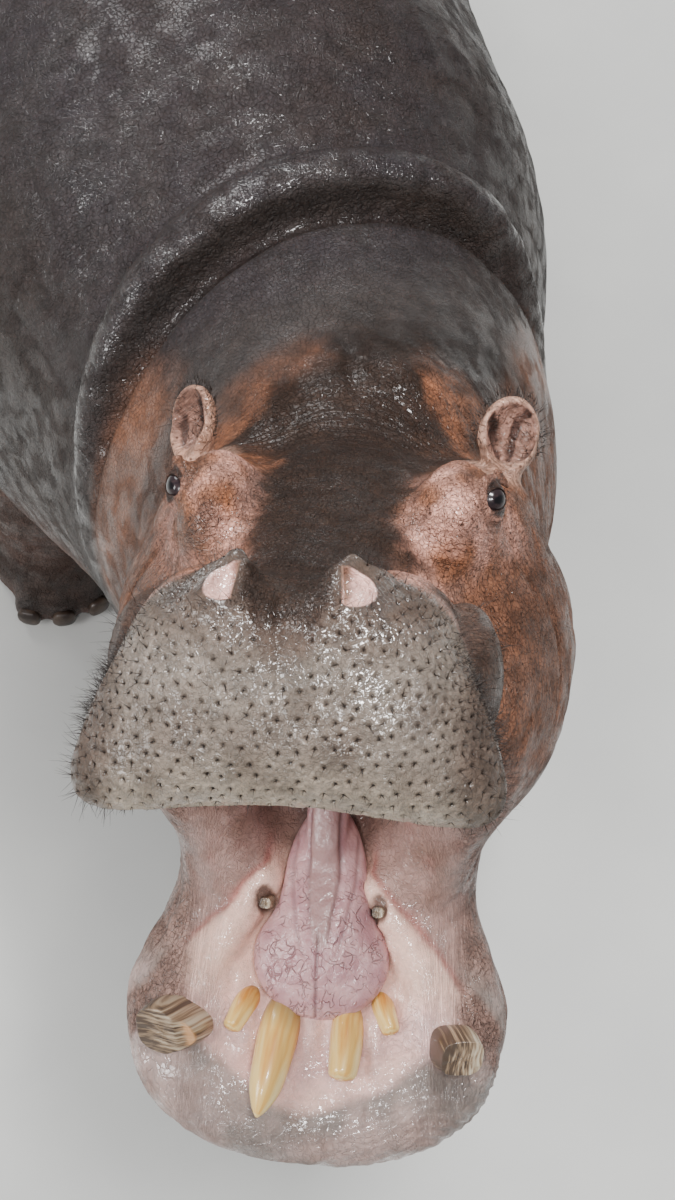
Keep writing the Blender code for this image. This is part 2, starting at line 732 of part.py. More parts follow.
def teeth(grow):
    """Each tooth by name: its mesh, and the node that it stands in."""
    made = {}

    def lower(name, points, radii, flat=1.0):
        made["lower_" + name] = (tooth(points, radii, JAW, JOINT, flat, grow), "lower_jaw")

    def upper(name, points, radii):
        made["upper_" + name] = (tooth(points, radii, HEAD, EYES, 1.0, grow), "head")

    lower(
        "incisor_right_inner",
        ((-0.034, -0.436, -0.058), (-0.036, -0.456, -0.026), (-0.042, -0.508, -0.008),
         (-0.048, -0.552, 0.000), (-0.053, -0.582, 0.004)),
        (0.019, 0.0230, 0.0225, 0.0170, 0.0045),
        1.05,
    )
    lower(
        "incisor_left_inner",
        ((0.045, -0.436, -0.058), (0.046, -0.456, -0.026), (0.047, -0.496, -0.010),
         (0.046, -0.528, -0.002)),
        (0.017, 0.0195, 0.0190, 0.0160),
        1.05,
    )
    lower(
        "incisor_right_outer",
        ((-0.074, -0.426, -0.058), (-0.082, -0.442, -0.024), (-0.097, -0.478, -0.006)),
        (0.012, 0.0145, 0.0110),
    )
    lower(
        "incisor_left_outer",
        ((0.082, -0.418, -0.058), (0.088, -0.434, -0.024), (0.103, -0.466, -0.006)),
        (0.011, 0.0135, 0.0100),
    )
    for side, word in ((1, "left"), (-1, "right")):
        x, y = CANINE_AT[side]
        radius = CANINE_RADIUS[side]
        lower(
            "canine_" + word,
            (((x - 0.026) * side, y + 0.024, -0.070), ((x - 0.012) * side, y + 0.010, -0.030),
             (x * side, y, 0.002), ((x + 0.008) * side, y - 0.008, 0.020)),
            (0.028, radius, radius, radius - 0.003),
            CANINE_FLAT[side],
        )
        premolar = np.array((PREMOLAR_X[side], -0.321, -0.010))
        lower(
            "premolar_" + word,
            (premolar + (0, 0.006, -0.035), premolar + (0, 0.003, 0.0), premolar + (0, 0, 0.020)),
            (0.008, 0.009, 0.007),
        )
        upper(
            "canine_" + word,
            ((0.122 * side, -0.415, -0.150), (0.128 * side, -0.422, -0.200),
             (0.133 * side, -0.434, -0.232)),
            (0.020, 0.020, 0.014),
        )
        for place, x in (("inner", 0.034), ("outer", 0.078)):
            upper(
                "incisor_" + word + "_" + place,
                ((x * side, -0.432, -0.150), (x * side, -0.440, -0.195), (x * side, -0.450, -0.218)),
                (0.012, 0.012, 0.009),
            )
    return made


def tongue_mesh():
    low = from_jaw((0, -0.27, 0)) - 0.26
    lines = [np.arange(start, start + 0.52, 0.009) for start in low]
    return form_mesh("tongue", tongue, lines, TONGUE_FACES)


def nails(x, y, reach, grow):
    made = []
    for turn in TOES:
        frame = turning(0, 0, turn)
        reached = np.array((0, -reach - TOE_TIP_RADIUS + 0.005, 0))
        tip = np.array((x, y + 0.015, TOE_HEIGHT)) + frame @ reached
        radii = np.array(NAIL_RADII) + grow
        made.append(ball((0, 0, 0.002), radii, frame, tip, 5, 6))
    return made


def build():
    for obj in list(bpy.data.objects):
        bpy.data.objects.remove(obj)
    parts = split_flesh()

    tongue_body = tongue_mesh()
    parts["lower_jaw"] = boolean(parts["lower_jaw"], grown(tongue_body, GAP), "DIFFERENCE")
    parts["head"] = boolean(parts["head"], grown(tongue_body, GAP), "DIFFERENCE")
    parts["tongue"] = tongue_body

    snug = teeth(0.0)
    for name, (socket, holder) in teeth(GAP).items():
        parts[holder] = boolean(parts[holder], socket, "DIFFERENCE")
        if name.startswith("lower"):
            parts["tongue"] = boolean(parts["tongue"], socket, "DIFFERENCE")
        parts[name] = snug[name][0]

    for side, word in ((1, "left"), (-1, "right")):
        at = (EYE_AT[0] * side, EYE_AT[1], EYE_AT[2])
        parts["eye_" + word] = ball(at, (EYE_RADIUS,) * 3, HEAD, EYES)
        socket = ball(at, (EYE_RADIUS + 1.5 * GAP,) * 3, HEAD, EYES)
        parts["head"] = boolean(parts["head"], socket, "DIFFERENCE")

    for words, feet, reach in (("foreleg", FORE_FEET, FORE_REACH), ("hindleg", HIND_FEET, HIND_REACH)):
        for x, y in feet:
            word = "left" if x > 0 else "right"
            leg = words + "_" + word
            pairs = zip(nails(x, y, reach, 0.0), nails(x, y, reach, 1.5 * GAP))
            for number, (nail, bed) in enumerate(pairs, 1):
                parts[leg] = boolean(parts[leg], bed, "DIFFERENCE")
                parts[f"nail_{leg}_{number}"] = nail

    stand = bpy.data.objects.new("hippopotamus", None)
    bpy.context.collection.objects.link(stand)
    stand.location = ORIGIN_SHIFT
    for name, mesh in parts.items():
        added(name, tidied(mesh), kind_of(name)).parent = stand


def kind_of(name):
    for start, kind in KINDS:
        if name.startswith(start):
            return kind
    return name


build()
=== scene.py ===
"""Looks of the hippopotamus: its skin, eyes, teeth, tongue, nails and bristles, on a pale floor.

Metres, +Z up. The animal faces -Y, and its left is +X."""

import math
from concurrent.futures import ThreadPoolExecutor

import bmesh
import bpy
import numpy as np
from mathutils import Matrix, Vector
from mathutils.kdtree import KDTree


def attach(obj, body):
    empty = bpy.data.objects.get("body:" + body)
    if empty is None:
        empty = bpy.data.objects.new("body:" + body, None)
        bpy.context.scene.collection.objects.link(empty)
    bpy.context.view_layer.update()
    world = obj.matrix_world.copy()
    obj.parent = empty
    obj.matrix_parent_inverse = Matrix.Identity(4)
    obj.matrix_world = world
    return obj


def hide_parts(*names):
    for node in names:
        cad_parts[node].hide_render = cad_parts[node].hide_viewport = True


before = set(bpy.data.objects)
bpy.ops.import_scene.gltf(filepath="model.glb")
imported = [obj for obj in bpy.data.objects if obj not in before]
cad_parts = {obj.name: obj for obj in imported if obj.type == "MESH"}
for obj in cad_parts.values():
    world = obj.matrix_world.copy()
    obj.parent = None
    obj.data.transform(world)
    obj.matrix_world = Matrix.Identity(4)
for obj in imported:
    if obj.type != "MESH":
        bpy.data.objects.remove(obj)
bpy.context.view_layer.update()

# ---- driving dimensions, the same as the part's ----
ORIGIN_SHIFT = np.array([0.01324, -0.00127, 0.0])  # from the animal's own axes to the stand's
EYES = np.array([-0.178, -1.195, 1.70])  # point midway between the eyes
HEAD_TURN = (-41.6, -5.4, -30.8)  # pitch, roll and yaw of the head, degrees
JAW_JOINT = np.array([0.0, 0.08, -0.24])  # in the head's frame: X to its left, Y back, Z up
GAPE = 62.0  # how far the jaw is open, degrees
JAW_SWING = -1.6  # and how far it is drawn to the right
BACK_NARROWING = 0.28  # how fast the trunk narrows upwards, per metre
FORE_FEET = ((0.31, -0.37), (-0.31, -0.25))
HIND_FEET = ((0.31, 1.26), (-0.31, 1.38))
TOES = (-36.0, -12.5, 12.5, 36.0)  # headings of the four toes, degrees
FORE_REACH = 0.115  # from the middle of a foot to the middle of a toe's tip
HIND_REACH = 0.106
TOE_HEIGHT = 0.032
TOE_TIP_RADIUS = 0.034
NAIL_RADII = (0.021, 0.010, 0.020)
EAR_AT = (0.197, 0.165, 0.024)
EAR_YAW = {1: 12.0, -1: -46.0}  # the left ear faces forward, the right one outward
EYE_AT = (0.180, -0.006, -0.005)
EYE_RADIUS = 0.0240
NOSTRIL_AT = (0.078, -0.445, 0.032)
NOSTRIL_RADII = (0.028, 0.025, 0.018)
NOSTRIL_TURN = (26, 0, 0)
TONGUE_LEAN = 0.009  # how far the tongue's front lies to the left
EAR_HOLLOW = ((0, -0.019, 0.004), (0.031, 0.023, 0.037))  # middle and radii, in the ear's frame
NECK_MIDDLE = (-0.01, 1.02)  # X and Z about which the roll of skin bends round the neck
ROLL_AHEAD = 0.585  # how far the roll lies ahead of the animal's middle at the top of the neck
CREASE_AHEAD = 0.062  # and how far the crease lies ahead of the roll
LEG_TOP, LEG_REACH = 1.30, 0.75  # how far from the ground and a foot's middle a leg is worked out
HEAD_EDGE = -0.50  # and how far back the head is
PREMOLAR_X = {1: 0.074, -1: -0.066}
CANINE_AT = {1: (0.186, -0.482), -1: (0.167, -0.482)}
CANINE_RADIUS = {1: 0.030, -1: 0.037}
CANINE_FLAT = {1: 1.0, -1: 1.15}
INCISORS = (  # name, points from the root to the tip in the jaw's frame, and radii at them
    ("right_inner", ((-0.034, -0.436, -0.058), (-0.036, -0.456, -0.026), (-0.042, -0.508, -0.008),
                     (-0.048, -0.552, 0.000), (-0.053, -0.582, 0.004)),
     (0.019, 0.0230, 0.0225, 0.0170, 0.0045)),
    ("left_inner", ((0.045, -0.436, -0.058), (0.046, -0.456, -0.026), (0.047, -0.496, -0.010),
                    (0.046, -0.528, -0.002)),
     (0.017, 0.0195, 0.0190, 0.0160)),
    ("right_outer", ((-0.074, -0.426, -0.058), (-0.082, -0.442, -0.024), (-0.097, -0.478, -0.006)),
     (0.012, 0.0145, 0.0110)),
    ("left_outer", ((0.082, -0.418, -0.058), (0.088, -0.434, -0.024), (0.103, -0.466, -0.006)),
     (0.011, 0.0135, 0.0100)),
)

# ---- the skin's surface, and how finely the pieces are made ----
SKIN_DEPTH = 0.001  # how far the skin lies inside the solids
FINE, COARSE = 0.0050, 0.013
LOW, HIGH = (-0.78, -1.95, -0.04), (0.74, 1.95, 2.10)
FINE_LOW, FINE_HIGH = (-0.72, -1.90, 1.05), (0.12, -0.95, 2.08)
EYE_TURN = (0, -14, -34)  # an eye looks outward, a little forward and up
LID = 0.0042
PROBE = 0.0006  # step for slopes of the forms
LEAST_SLOPE, MOST_MOVE = 0.04, 0.006  # limits for points that are moved onto a form
SOLE_BAND, GROUND_BAND = 0.002, 0.004  # heights below which the skin is a sole, and is left smooth
STRIDE = 4  # grid lines between those of the first, rough grid
PART_SIZE, THREADS = 60000, 4
TONGUE_FINE = 0.0022
RAY_STEPS, RAY_SHARE = 60, 0.8  # how often a ray moves on, and by what share of its distance to the form
PIT_SPACING, PIT_ROWS = 0.0172, 0.0160  # metres between bristles in a row, and between rows
PAD_ROUND = 0.135  # radius of the muzzle's front, on which the rows turn
TOOTH_RINGS, TOOTH_CAP, TOOTH_SIDES = 34, 10, 44
UV_PATCH = 0.003  # side of the patch of the map that a hair takes

# ---- the view and the lamps ----
VIEW_AZIMUTH, VIEW_ELEVATION = -22.0, 62.0
VIEW_DISTANCE = 4.5
VIEW_ACROSS, VIEW_DOWN = 0.002, 0.135  # where the camera stands from the eyes' line of sight
LENS = 112.3
LAMPS = (  # name, place, aim, power and size
    ("key", (-0.3, -3.5, 6.2), (-0.3, -1.4, 1.6), 165.0, 0.8),
    ("front", (-2.3, -3.9, 4.8), (-0.3, -1.7, 1.3), 70.0, 0.7),
    ("side", (-4.4, -1.6, 3.6), (-0.1, -0.6, 1.2), 160.0, 1.8),
    ("top", (0.9, -0.8, 5.4), (0.0, -0.5, 1.3), 220.0, 0.9),
    ("rear", (-0.5, 2.9, 4.6), (0.0, -0.6, 1.3), 230.0, 2.6),
)

LEATHER = ("head", "lower_jaw", "ear_left", "ear_right", "neck", "trunk", "tail",
           "foreleg_left", "foreleg_right", "hindleg_left", "hindleg_right")


def turning(pitch=0.0, roll=0.0, yaw=0.0):
    """Rotation matrix of a roll about Y, then a pitch about X, then a yaw about Z, in degrees."""
    a, b, c = np.radians((pitch, roll, yaw))
    about_x = np.array([[1, 0, 0], [0, math.cos(a), -math.sin(a)], [0, math.sin(a), math.cos(a)]])
    about_y = np.array([[math.cos(b), 0, math.sin(b)], [0, 1, 0], [-math.sin(b), 0, math.cos(b)]])
    about_z = np.array([[math.cos(c), -math.sin(c), 0], [math.sin(c), math.cos(c), 0], [0, 0, 1]])
    return about_z @ about_x @ about_y


HEAD = turning(*HEAD_TURN)
JAW = HEAD @ turning(GAPE) @ turning(0, 0, JAW_SWING)


def to_head(p):
    return (p - EYES) @ HEAD


def from_head(p):
    return np.asarray(p) @ HEAD.T + EYES


def to_jaw(p):
    return (p - from_head(JAW_JOINT)) @ JAW


def from_jaw(p):
    return np.asarray(p) @ JAW.T + from_head(JAW_JOINT)


# ---- simple forms: each gives the distance of points to its surface, below zero inside ----


def to_tongue(p):
    """Points of the jaw's frame, with the tongue's lean to the left taken out."""
    j = to_jaw(p)
    j[:, 0] -= TONGUE_LEAN * np.clip((-0.10 - j[:, 1]) / 0.35, 0.0, 1.0)
    return j


def length(v):
    return np.sqrt(np.einsum("ij,ij->i", v, v))


def unit(v):
    return v / np.maximum(length(v), 1e-6)[:, None]


def mirrored(p):
    return np.column_stack([np.abs(p[:, 0]), p[:, 1], p[:, 2]])


def placed(p, centre, turn):
    q = p - np.asarray(centre)
    return q if turn is None else q @ turning(*turn)


def ellipsoid(p, centre, radii, turn=None):
    q = placed(p, centre, turn)
    radii = np.asarray(radii)
    near = length(q / radii)
    return near * (near - 1.0) / np.maximum(length(q / radii**2), 1e-6)


def block(p, centre, radii, plan, side, turn=None, taper=0.0):
    """Rounded block: one superellipse in plan, another from the side, wider or narrower with height."""
    q = placed(p, centre, turn)
    reach = np.abs(q) / np.asarray(radii)
    reach[:, 0] /= np.clip(1.0 + taper * q[:, 2], 0.3, 3.0)
    flat = (reach[:, 0] ** plan + reach[:, 1] ** plan) ** (side / plan)
    size = np.maximum((flat + reach[:, 2] ** side) ** (1.0 / side), 1e-4)
    return length(q) * (1.0 - 1.0 / size)


def cone(p, a, b, ra, rb):
    """Round-ended rod from a to b whose radius goes from ra to rb."""
    a, b = np.asarray(a), np.asarray(b)
    along = b - a
    t = np.clip((p - a) @ along / (along @ along), 0.0, 1.0)
    return length(p - a - t[:, None] * along) - (ra + (rb - ra) * t)


def chain(p, points, radii, k):
    d = cone(p, points[0], points[1], radii[0], radii[1])
    for i in range(1, len(points) - 1):
        d = blend(d, cone(p, points[i], points[i + 1], radii[i], radii[i + 1]), k)
    return d


def blend(a, b, k):
    """Union of two forms, rounded over the width k."""
    h = np.clip(0.5 + 0.5 * (b - a) / k, 0.0, 1.0)
    return b * (1 - h) + a * h - k * h * (1 - h)


def carve(a, b, k):
    """Form a less form b, rounded over the width k."""
    return -blend(-a, b, k)


# ---- the animal's forms ----


def trunk(p):
    p = p.copy()
    p[:, 0] *= 1.0 + BACK_NARROWING * (p[:, 2] - 0.90)
    m = mirrored(p)
    d = ellipsoid(p, (0, -0.28, 0.93), (0.42, 0.50, 0.49))
    d = blend(d, ellipsoid(p, (0, 0.50, 0.88), (0.59, 0.98, 0.545)), 0.25)
    d = blend(d, ellipsoid(p, (0, 1.27, 0.93), (0.45, 0.47, 0.48)), 0.25)
    d = blend(d, ellipsoid(m, (0.16, 1.36, 0.98), (0.28, 0.34, 0.36)), 0.15)
    d = blend(d, ellipsoid(m, (0.25, -0.30, 0.90), (0.18, 0.28, 0.42)), 0.14)
    return blend(d, ellipsoid(p, (0, -0.55, 0.78), (0.32, 0.30, 0.36)), 0.18)


def upper_foreleg(p, x, y):
    inward = -math.copysign(0.02, x)
    d = ellipsoid(p, (x + inward, y + 0.06, 0.72), (0.165, 0.22, 0.33))
    return blend(d, cone(p, (x, y + 0.05, 0.56), (x, y + 0.01, 0.26), 0.145, 0.098), 0.10)


def upper_hindleg(p, x, y):
    inward = -math.copysign(0.02, x)
    d = ellipsoid(p, (x + inward, y - 0.02, 0.78), (0.19, 0.29, 0.40), (8, 0, 0))
    return blend(d, cone(p, (x, y, 0.56), (x, y + 0.07, 0.30), 0.155, 0.092), 0.10)


def foot(p, x, y, reach):
    d = ellipsoid(p, (x, y + 0.015, 0.055), (0.116, 0.120, 0.085))
    for turn in TOES:
        a = math.radians(turn)
        out = np.array((math.sin(a), -math.cos(a), 0))
        root = (x, y, 0.080) + 0.05 * out
        tip = (x, y + 0.015, TOE_HEIGHT) + reach * out
        d = blend(d, cone(p, root, tip, 0.046, 0.034), 0.012)
    return d


def foreleg(p, x, y):
    d = blend(upper_foreleg(p, x, y), cone(p, (x, y + 0.01, 0.26), (x, y, 0.10), 0.096, 0.105), 0.05)
    return blend(d, foot(p, x, y, FORE_REACH), 0.04)


def hindleg(p, x, y):
    d = blend(upper_hindleg(p, x, y), cone(p, (x, y + 0.07, 0.30), (x, y + 0.01, 0.10), 0.090, 0.100), 0.05)
    return blend(d, foot(p, x, y, HIND_REACH), 0.04)


def tail(p):
    q = p / np.array((0.8, 1.15, 1.0))
    points = ((0, 1.40, 1.17), (0, 1.545, 1.08), (0, 1.575, 0.90), (0, 1.568, 0.70))
    return chain(q, points, (0.10, 0.056, 0.036, 0.018), 0.012)


def neck(p):
    d = chain(
        p,
        ((0.00, -0.42, 0.96), (-0.05, -0.80, 1.04), (-0.10, -1.00, 1.14)),
        (0.42, 0.315, 0.285),
        0.10,
    )
    d = blend(d, ellipsoid(p, (-0.04, -0.72, 0.82), (0.29, 0.34, 0.36)), 0.16)
    return blend(d, cone(p, (0.03, -0.62, 1.13), (-0.08, -1.00, 1.37), 0.235, 0.20), 0.14)


def fold_sheet(p):
    """How far a point lies behind the sheet that carries the roll round the neck, and its angle there."""
    around = np.arctan2(p[:, 0] - NECK_MIDDLE[0], p[:, 2] - NECK_MIDDLE[1])
    return p[:, 1] + ROLL_AHEAD + 0.22 * (1.0 - np.cos(around)), around


def folded(p, d):
    """Adds the thick roll of skin over the shoulders to form d, and the crease before it."""
    behind, around = fold_sheet(p)
    fade = np.clip(1.0 - (np.abs(around) - 0.55) / 1.25, 0.0, 1.0)
    fade = fade * fade * (3.0 - 2.0 * fade)
    roll = np.hypot(d + 0.030 - 0.030 * fade, behind) - (0.020 + 0.026 * fade)
    d = blend(d, roll, 0.020)
    crease = np.hypot(d * 0.6, behind + CREASE_AHEAD) - (0.036 * fade - 0.016)
    return carve(d, crease, 0.022)


def nostril(m):
    """The opening of a nostril in the mirrored head frame: round outside, straight towards the middle."""
    q = placed(m, NOSTRIL_AT, NOSTRIL_TURN)
    return np.maximum(ellipsoid(q, (-0.012, 0.0035, 0), NOSTRIL_RADII), -0.017 - q[:, 0] - 0.1 * q[:, 1])


def upper_head(p):
    h = to_head(p)
    m = mirrored(h)
    d = ellipsoid(h, (0, 0.12, -0.140), (0.185, 0.21, 0.150))
    d = blend(d, ellipsoid(h, (0, -0.02, -0.105), (0.150, 0.20, 0.100)), 0.05)
    d = blend(d, block(h, (0, -0.190, -0.130), (0.158, 0.27, 0.104), 4.0, 2.6, None, -2.4), 0.05)
    # cheek over the chewing muscle
    d = blend(d, ellipsoid(m, (0.168, 0.09, -0.25), (0.120, 0.24, 0.185), (12, 0, 0)), 0.08)
    # broad pad of the muzzle: its front leans back and its lip hangs lower at the sides
    sag = h + np.column_stack([np.zeros(len(h)), np.zeros(len(h)), h[:, 0] ** 2 - 0.016])
    d = blend(d, block(sag, (0, -0.430, -0.112), (0.232, 0.105, 0.126), 2.8, 2.8, (-20, 0, 0), -1.5), 0.04)
    d = blend(d, ellipsoid(m, (0.100, -0.35, -0.065), (0.085, 0.11, 0.080)), 0.05)
    # lobe behind the pad
    d = blend(d, ellipsoid(m, (0.178, -0.290, -0.125), (0.050, 0.090, 0.088)), 0.016)
    # nostril mound, the flap that stands behind the nostril, and its slit
    d = blend(d, ellipsoid(m, (0.070, -0.405, 0.004), (0.042, 0.062, 0.040), (0, 0, -12)), 0.022)
    flap = (
        (0.040, -0.486, -0.004), (0.047, -0.460, 0.024), (0.052, -0.425, 0.040),
        (0.064, -0.398, 0.046), (0.094, -0.394, 0.024),
    )
    d = blend(d, chain(m, flap, (0.008, 0.012, 0.014, 0.010, 0.007), 0.008), 0.012)
    d = carve(d, cone(h, (0, -0.395, 0.056), (0, -0.495, 0.020), 0.016, 0.006), 0.020)
    d = carve(d, nostril(m), 0.005)
    # temple, from which the ear rises, then the orbit and brow
    d = blend(d, ellipsoid(m, (0.160, 0.135, -0.092), (0.070, 0.125, 0.080)), 0.04)
    return blend(d, ellipsoid(m, (0.146, 0.008, -0.035), (0.052, 0.100, 0.070), (-8, 0, 0)), 0.04)


def lower_jaw(p):
    j = to_jaw(p)
    m = mirrored(j)
    d = cone(m, (0.150, 0.04, -0.09), (0.110, -0.26, -0.075), 0.115, 0.066)
    d = blend(d, cone(m, (0.110, -0.26, -0.075), (0.165, -0.43, -0.078), 0.066, 0.062), 0.03)
    d = blend(d, block(j, (0, -0.463, -0.080), (0.236, 0.174, 0.064), 2.3, 2.5), 0.04)
    return blend(d, cone(j, (0, 0.08, -0.16), (0, -0.42, -0.095), 0.14, 0.055), 0.06)


def cheeks(p):
    """Skin drawn between the jaws at the corners of the mouth."""
    m = mirrored(to_head(p))
    return cone(m, (0.172, -0.10, -0.240), (0.132, -0.035, -0.460), 0.052, 0.046)


def gums(p):
    """Ridges of gum along the jaw and across its front."""
    m = mirrored(to_jaw(p))
    d = cone(m, (0.180, -0.475, -0.040), (0.075, -0.290, -0.012), 0.030, 0.026)
    return blend(d, cone(m, (0.180, -0.475, -0.044), (0.0, -0.448, -0.046), 0.030, 0.027), 0.02)


def mouth(p):
    """The hollow of the open mouth."""
    j = to_jaw(p)
    d = block(j, (0, -0.385, 0.010), (0.120, 0.090, 0.052), 2.4, 2.2)
    d = blend(d, cone(j, (0, -0.34, 0.020), (0, -0.10, 0.045), 0.046, 0.040), 0.03)
    d = blend(d, cone(j, (0, -0.10, 0.045), (0, 0.0, 0.05), 0.040, 0.050), 0.03)
    d = blend(d, ellipsoid(j, (0, -0.545, 0.004), (0.165, 0.062, 0.030)), 0.02)
    palate = block(to_head(p), (0, -0.30, -0.245), (0.150, 0.185, 0.062), 2.6, 2.2)
    return blend(d, palate, 0.02)


def tongue(p):
    """A leaf, broad towards its tip, with a strap that runs back into the throat."""
    j = to_tongue(p)
    d = ellipsoid(j, (0, -0.382, -0.016), (0.084, 0.075, 0.030))
    d = blend(d, block(j, (0, -0.300, -0.008), (0.052, 0.110, 0.026), 2.0, 2.0, (-6, 0, 0)), 0.03)
    return blend(d, cone(j, (0, -0.24, 0.006), (0, -0.06, 0.030), 0.025, 0.030), 0.02)


def ear_frame(side):
    """Middle of an ear in the head's frame, and its turn: its opening faces -Y and its tip points up."""
    return np.array((EAR_AT[0] * side, EAR_AT[1], EAR_AT[2])), turning(-14, 12 * side, EAR_YAW[side])


def ear_axes(h, side):
    """Points of the head's frame in an ear's own."""
    middle, turn = ear_frame(side)
    return (h - middle) @ turn


def ear(h, side):
    q = ear_axes(h, side)
    d = ellipsoid(q, (0, 0, 0), (0.039, 0.022, 0.047))
    d = blend(d, cone(q, (0, 0, -0.02), (0, 0, -0.060), 0.026, 0.014), 0.02)
    slot = cone(q, (0, -0.024, -0.01), (0, -0.022, -0.052), 0.020, 0.008)
    hollow = blend(ellipsoid(q, *EAR_HOLLOW), slot, 0.02)
    root = cone(q, (0, 0.012, -0.075), (0, 0.008, -0.040), 0.030, 0.018)
    return blend(carve(d, hollow, 0.006), root, 0.014)


def flesh(p):
    """The whole animal but its ears, eyes, teeth, tongue and nails."""
    body = trunk(p)
    for feet, leg in ((FORE_FEET, foreleg), (HIND_FEET, hindleg)):
        for x, y in feet:
            near = (p[:, 2] < LEG_TOP) & (np.abs(p[:, 1] - y) < LEG_REACH)
            body[near] = blend(body[near], leg(p[near], x, y), 0.06)
    rear = p[:, 1] > 1.3
    body[rear] = blend(body[rear], tail(p[rear]), 0.05)
    front = p[:, 1] < 0.0
    body[front] = folded(p[front], blend(body[front], neck(p[front]), 0.10))
    front = p[:, 1] < HEAD_EDGE
    q = p[front]
    d = blend(body[front], upper_head(q), 0.07)
    d = blend(d, lower_jaw(q), 0.05)
    d = blend(d, cheeks(q), 0.06)
    body[front] = blend(carve(d, mouth(q), 0.02), gums(q), 0.02)
    return body


# ---- from a form to a surface ----


def graded(low, high, fine_low, fine_high, fine, coarse):
    """Grid lines from low to high, closer together between fine_low and fine_high."""
    ticks = [low]
    while ticks[-1] < high:
        ticks.append(ticks[-1] + (fine if fine_low <= ticks[-1] <= fine_high else coarse))
    return np.array(ticks)


def worked_out(form, points):
    """The form at many points, a part to each of a few threads at a time."""
    parts = np.array_split(points, max(1, len(points) // PART_SIZE))
    with ThreadPoolExecutor(THREADS) as pool:
        return np.concatenate(list(pool.map(form, parts)))


def sampled(form, lines, band, stride):
    """The form on a grid: exact within the band about its surface, and of the right sign elsewhere."""
    few = [line[::stride] for line in lines]
    grid = np.stack(np.meshgrid(*few, indexing="ij"), -1).reshape(-1, 3)
    rough = worked_out(form, grid).reshape([len(line) for line in few])
    nearest = [
        np.minimum((np.arange(len(line)) + stride // 2) // stride, len(some) - 1)
        for line, some in zip(lines, few)
    ]
    values = rough[np.ix_(*nearest)]
    at = np.nonzero(np.abs(values) < band)
    values[at] = worked_out(form, np.column_stack([line[i] for line, i in zip(lines, at)]))
    return values


def surface_of(values, lines):
    """Points and quads of the surface where the values change sign, one point to a cell that it crosses."""
    inside = values < 0
    corners = [(i, j, k) for i in (0, 1) for j in (0, 1) for k in (0, 1)]
    last = np.array(inside.shape) - 1
    count = sum(
        inside[i:last[0] + i, j:last[1] + j, k:last[2] + k].astype(np.int8)
        for i, j, k in corners
    )
    cell = np.nonzero((count > 0) & (count < 8))
    index = np.full(count.shape, -1)
    index[cell] = np.arange(len(cell[0]))
    total = np.zeros((len(cell[0]), 3))
    crossings = np.zeros(len(cell[0]))
    for corner in corners:
        for axis in range(3):
            if corner[axis]:
                continue
            start = [c + step for c, step in zip(cell, corner)]
            end = [c + (i == axis) for i, c in enumerate(start)]
            v0, v1 = values[tuple(start)], values[tuple(end)]
            crossed = (v0 < 0) != (v1 < 0)
            share = np.where(crossed, v0 / np.where(crossed, v0 - v1, 1.0), 0.0)
            at = np.column_stack([line[i] for line, i in zip(lines, start)])
            at[:, axis] += share * (lines[axis][end[axis]] - lines[axis][start[axis]])
            total += at * crossed[:, None]
            crossings += crossed
    quads = []
    for axis in range(3):
        first, second = (axis + 1) % 3, (axis + 2) % 3
        low = [slice(1, n - 1) for n in values.shape]
        high = list(low)
        low[axis] = slice(0, values.shape[axis] - 1)
        high[axis] = slice(1, values.shape[axis])
        before, after = inside[tuple(low)], inside[tuple(high)]
        for outward, mask in ((True, before & ~after), (False, ~before & after)):
            edge = np.array(np.nonzero(mask))
            edge[[first, second]] += 1
            ring = []
            for a, b in ((1, 1), (0, 1), (0, 0), (1, 0)):
                c = edge.copy()
                c[first] -= a
                c[second] -= b
                ring.append(index[tuple(c)])
            quads.append(np.column_stack(ring if outward else ring[::-1]))
    return total / crossings[:, None], np.concatenate(quads)


# ---- noise ----


def scrambled(i, j, k, seed):
    """A fixed number from 0 to 1 for each cell of a grid."""
    n = (i * 374761393 + j * 668265263 + k * 1442695041 + seed * 974634777).astype(np.uint32)
    n = (n ^ (n >> np.uint32(13))) * np.uint32(1274126177)
    return ((n ^ (n >> np.uint32(16))) & np.uint32(0xFFFF)) / 65535.0


def noise(p, size, seed=0):
    """Smooth noise from -1 to 1 whose bumps are about this size."""
    q = p / size
    cell = np.floor(q)
    f = q - cell
    f = f * f * (3.0 - 2.0 * f)
    cell = cell.astype(np.int64)
    total = np.zeros(len(p))
    for corner in ((i, j, k) for i in (0, 1) for j in (0, 1) for k in (0, 1)):
        weight = np.prod([f[:, a] if c else 1.0 - f[:, a] for a, c in enumerate(corner)], axis=0)
        total += weight * scrambled(*(cell[:, a] + c for a, c in enumerate(corner)), seed)
    return 2.0 * total - 1.0


def layered(p, size, seed, layers=3):
    """Noise over ever smaller bumps."""
    return sum(noise(p, size / 2**i, seed + i) / 2**i for i in range(layers)) / (2.0 - 0.5 ** (layers - 1))


def lines_of(p, size, seed):
    """Thin winding lines of height 1 on a ground of 0."""
    return np.clip(1.0 - 3.2 * np.abs(noise(p, size, seed)), 0.0, 1.0) ** 1.5


def step(low, high, x):
    """From 0 at low to 1 at high, smoothly; low may be the larger."""
    t = np.clip((x - low) / (high - low), 0.0, 1.0)
    return t * t * (3.0 - 2.0 * t)


def waves(x, spacing, shift=0.0):
    return np.sin(x * 2 * math.pi / spacing + shift)


def bump_at(x, middle, width):
    return np.exp(-(((x - middle) / width) ** 2))


# ---- the skin's form ----


def eye_axes(m):
    """Points of the mirrored head frame in an eye's own: X is where it looks, Y runs along the lids."""
    return (m - np.array(EYE_AT)) @ turning(*EYE_TURN)


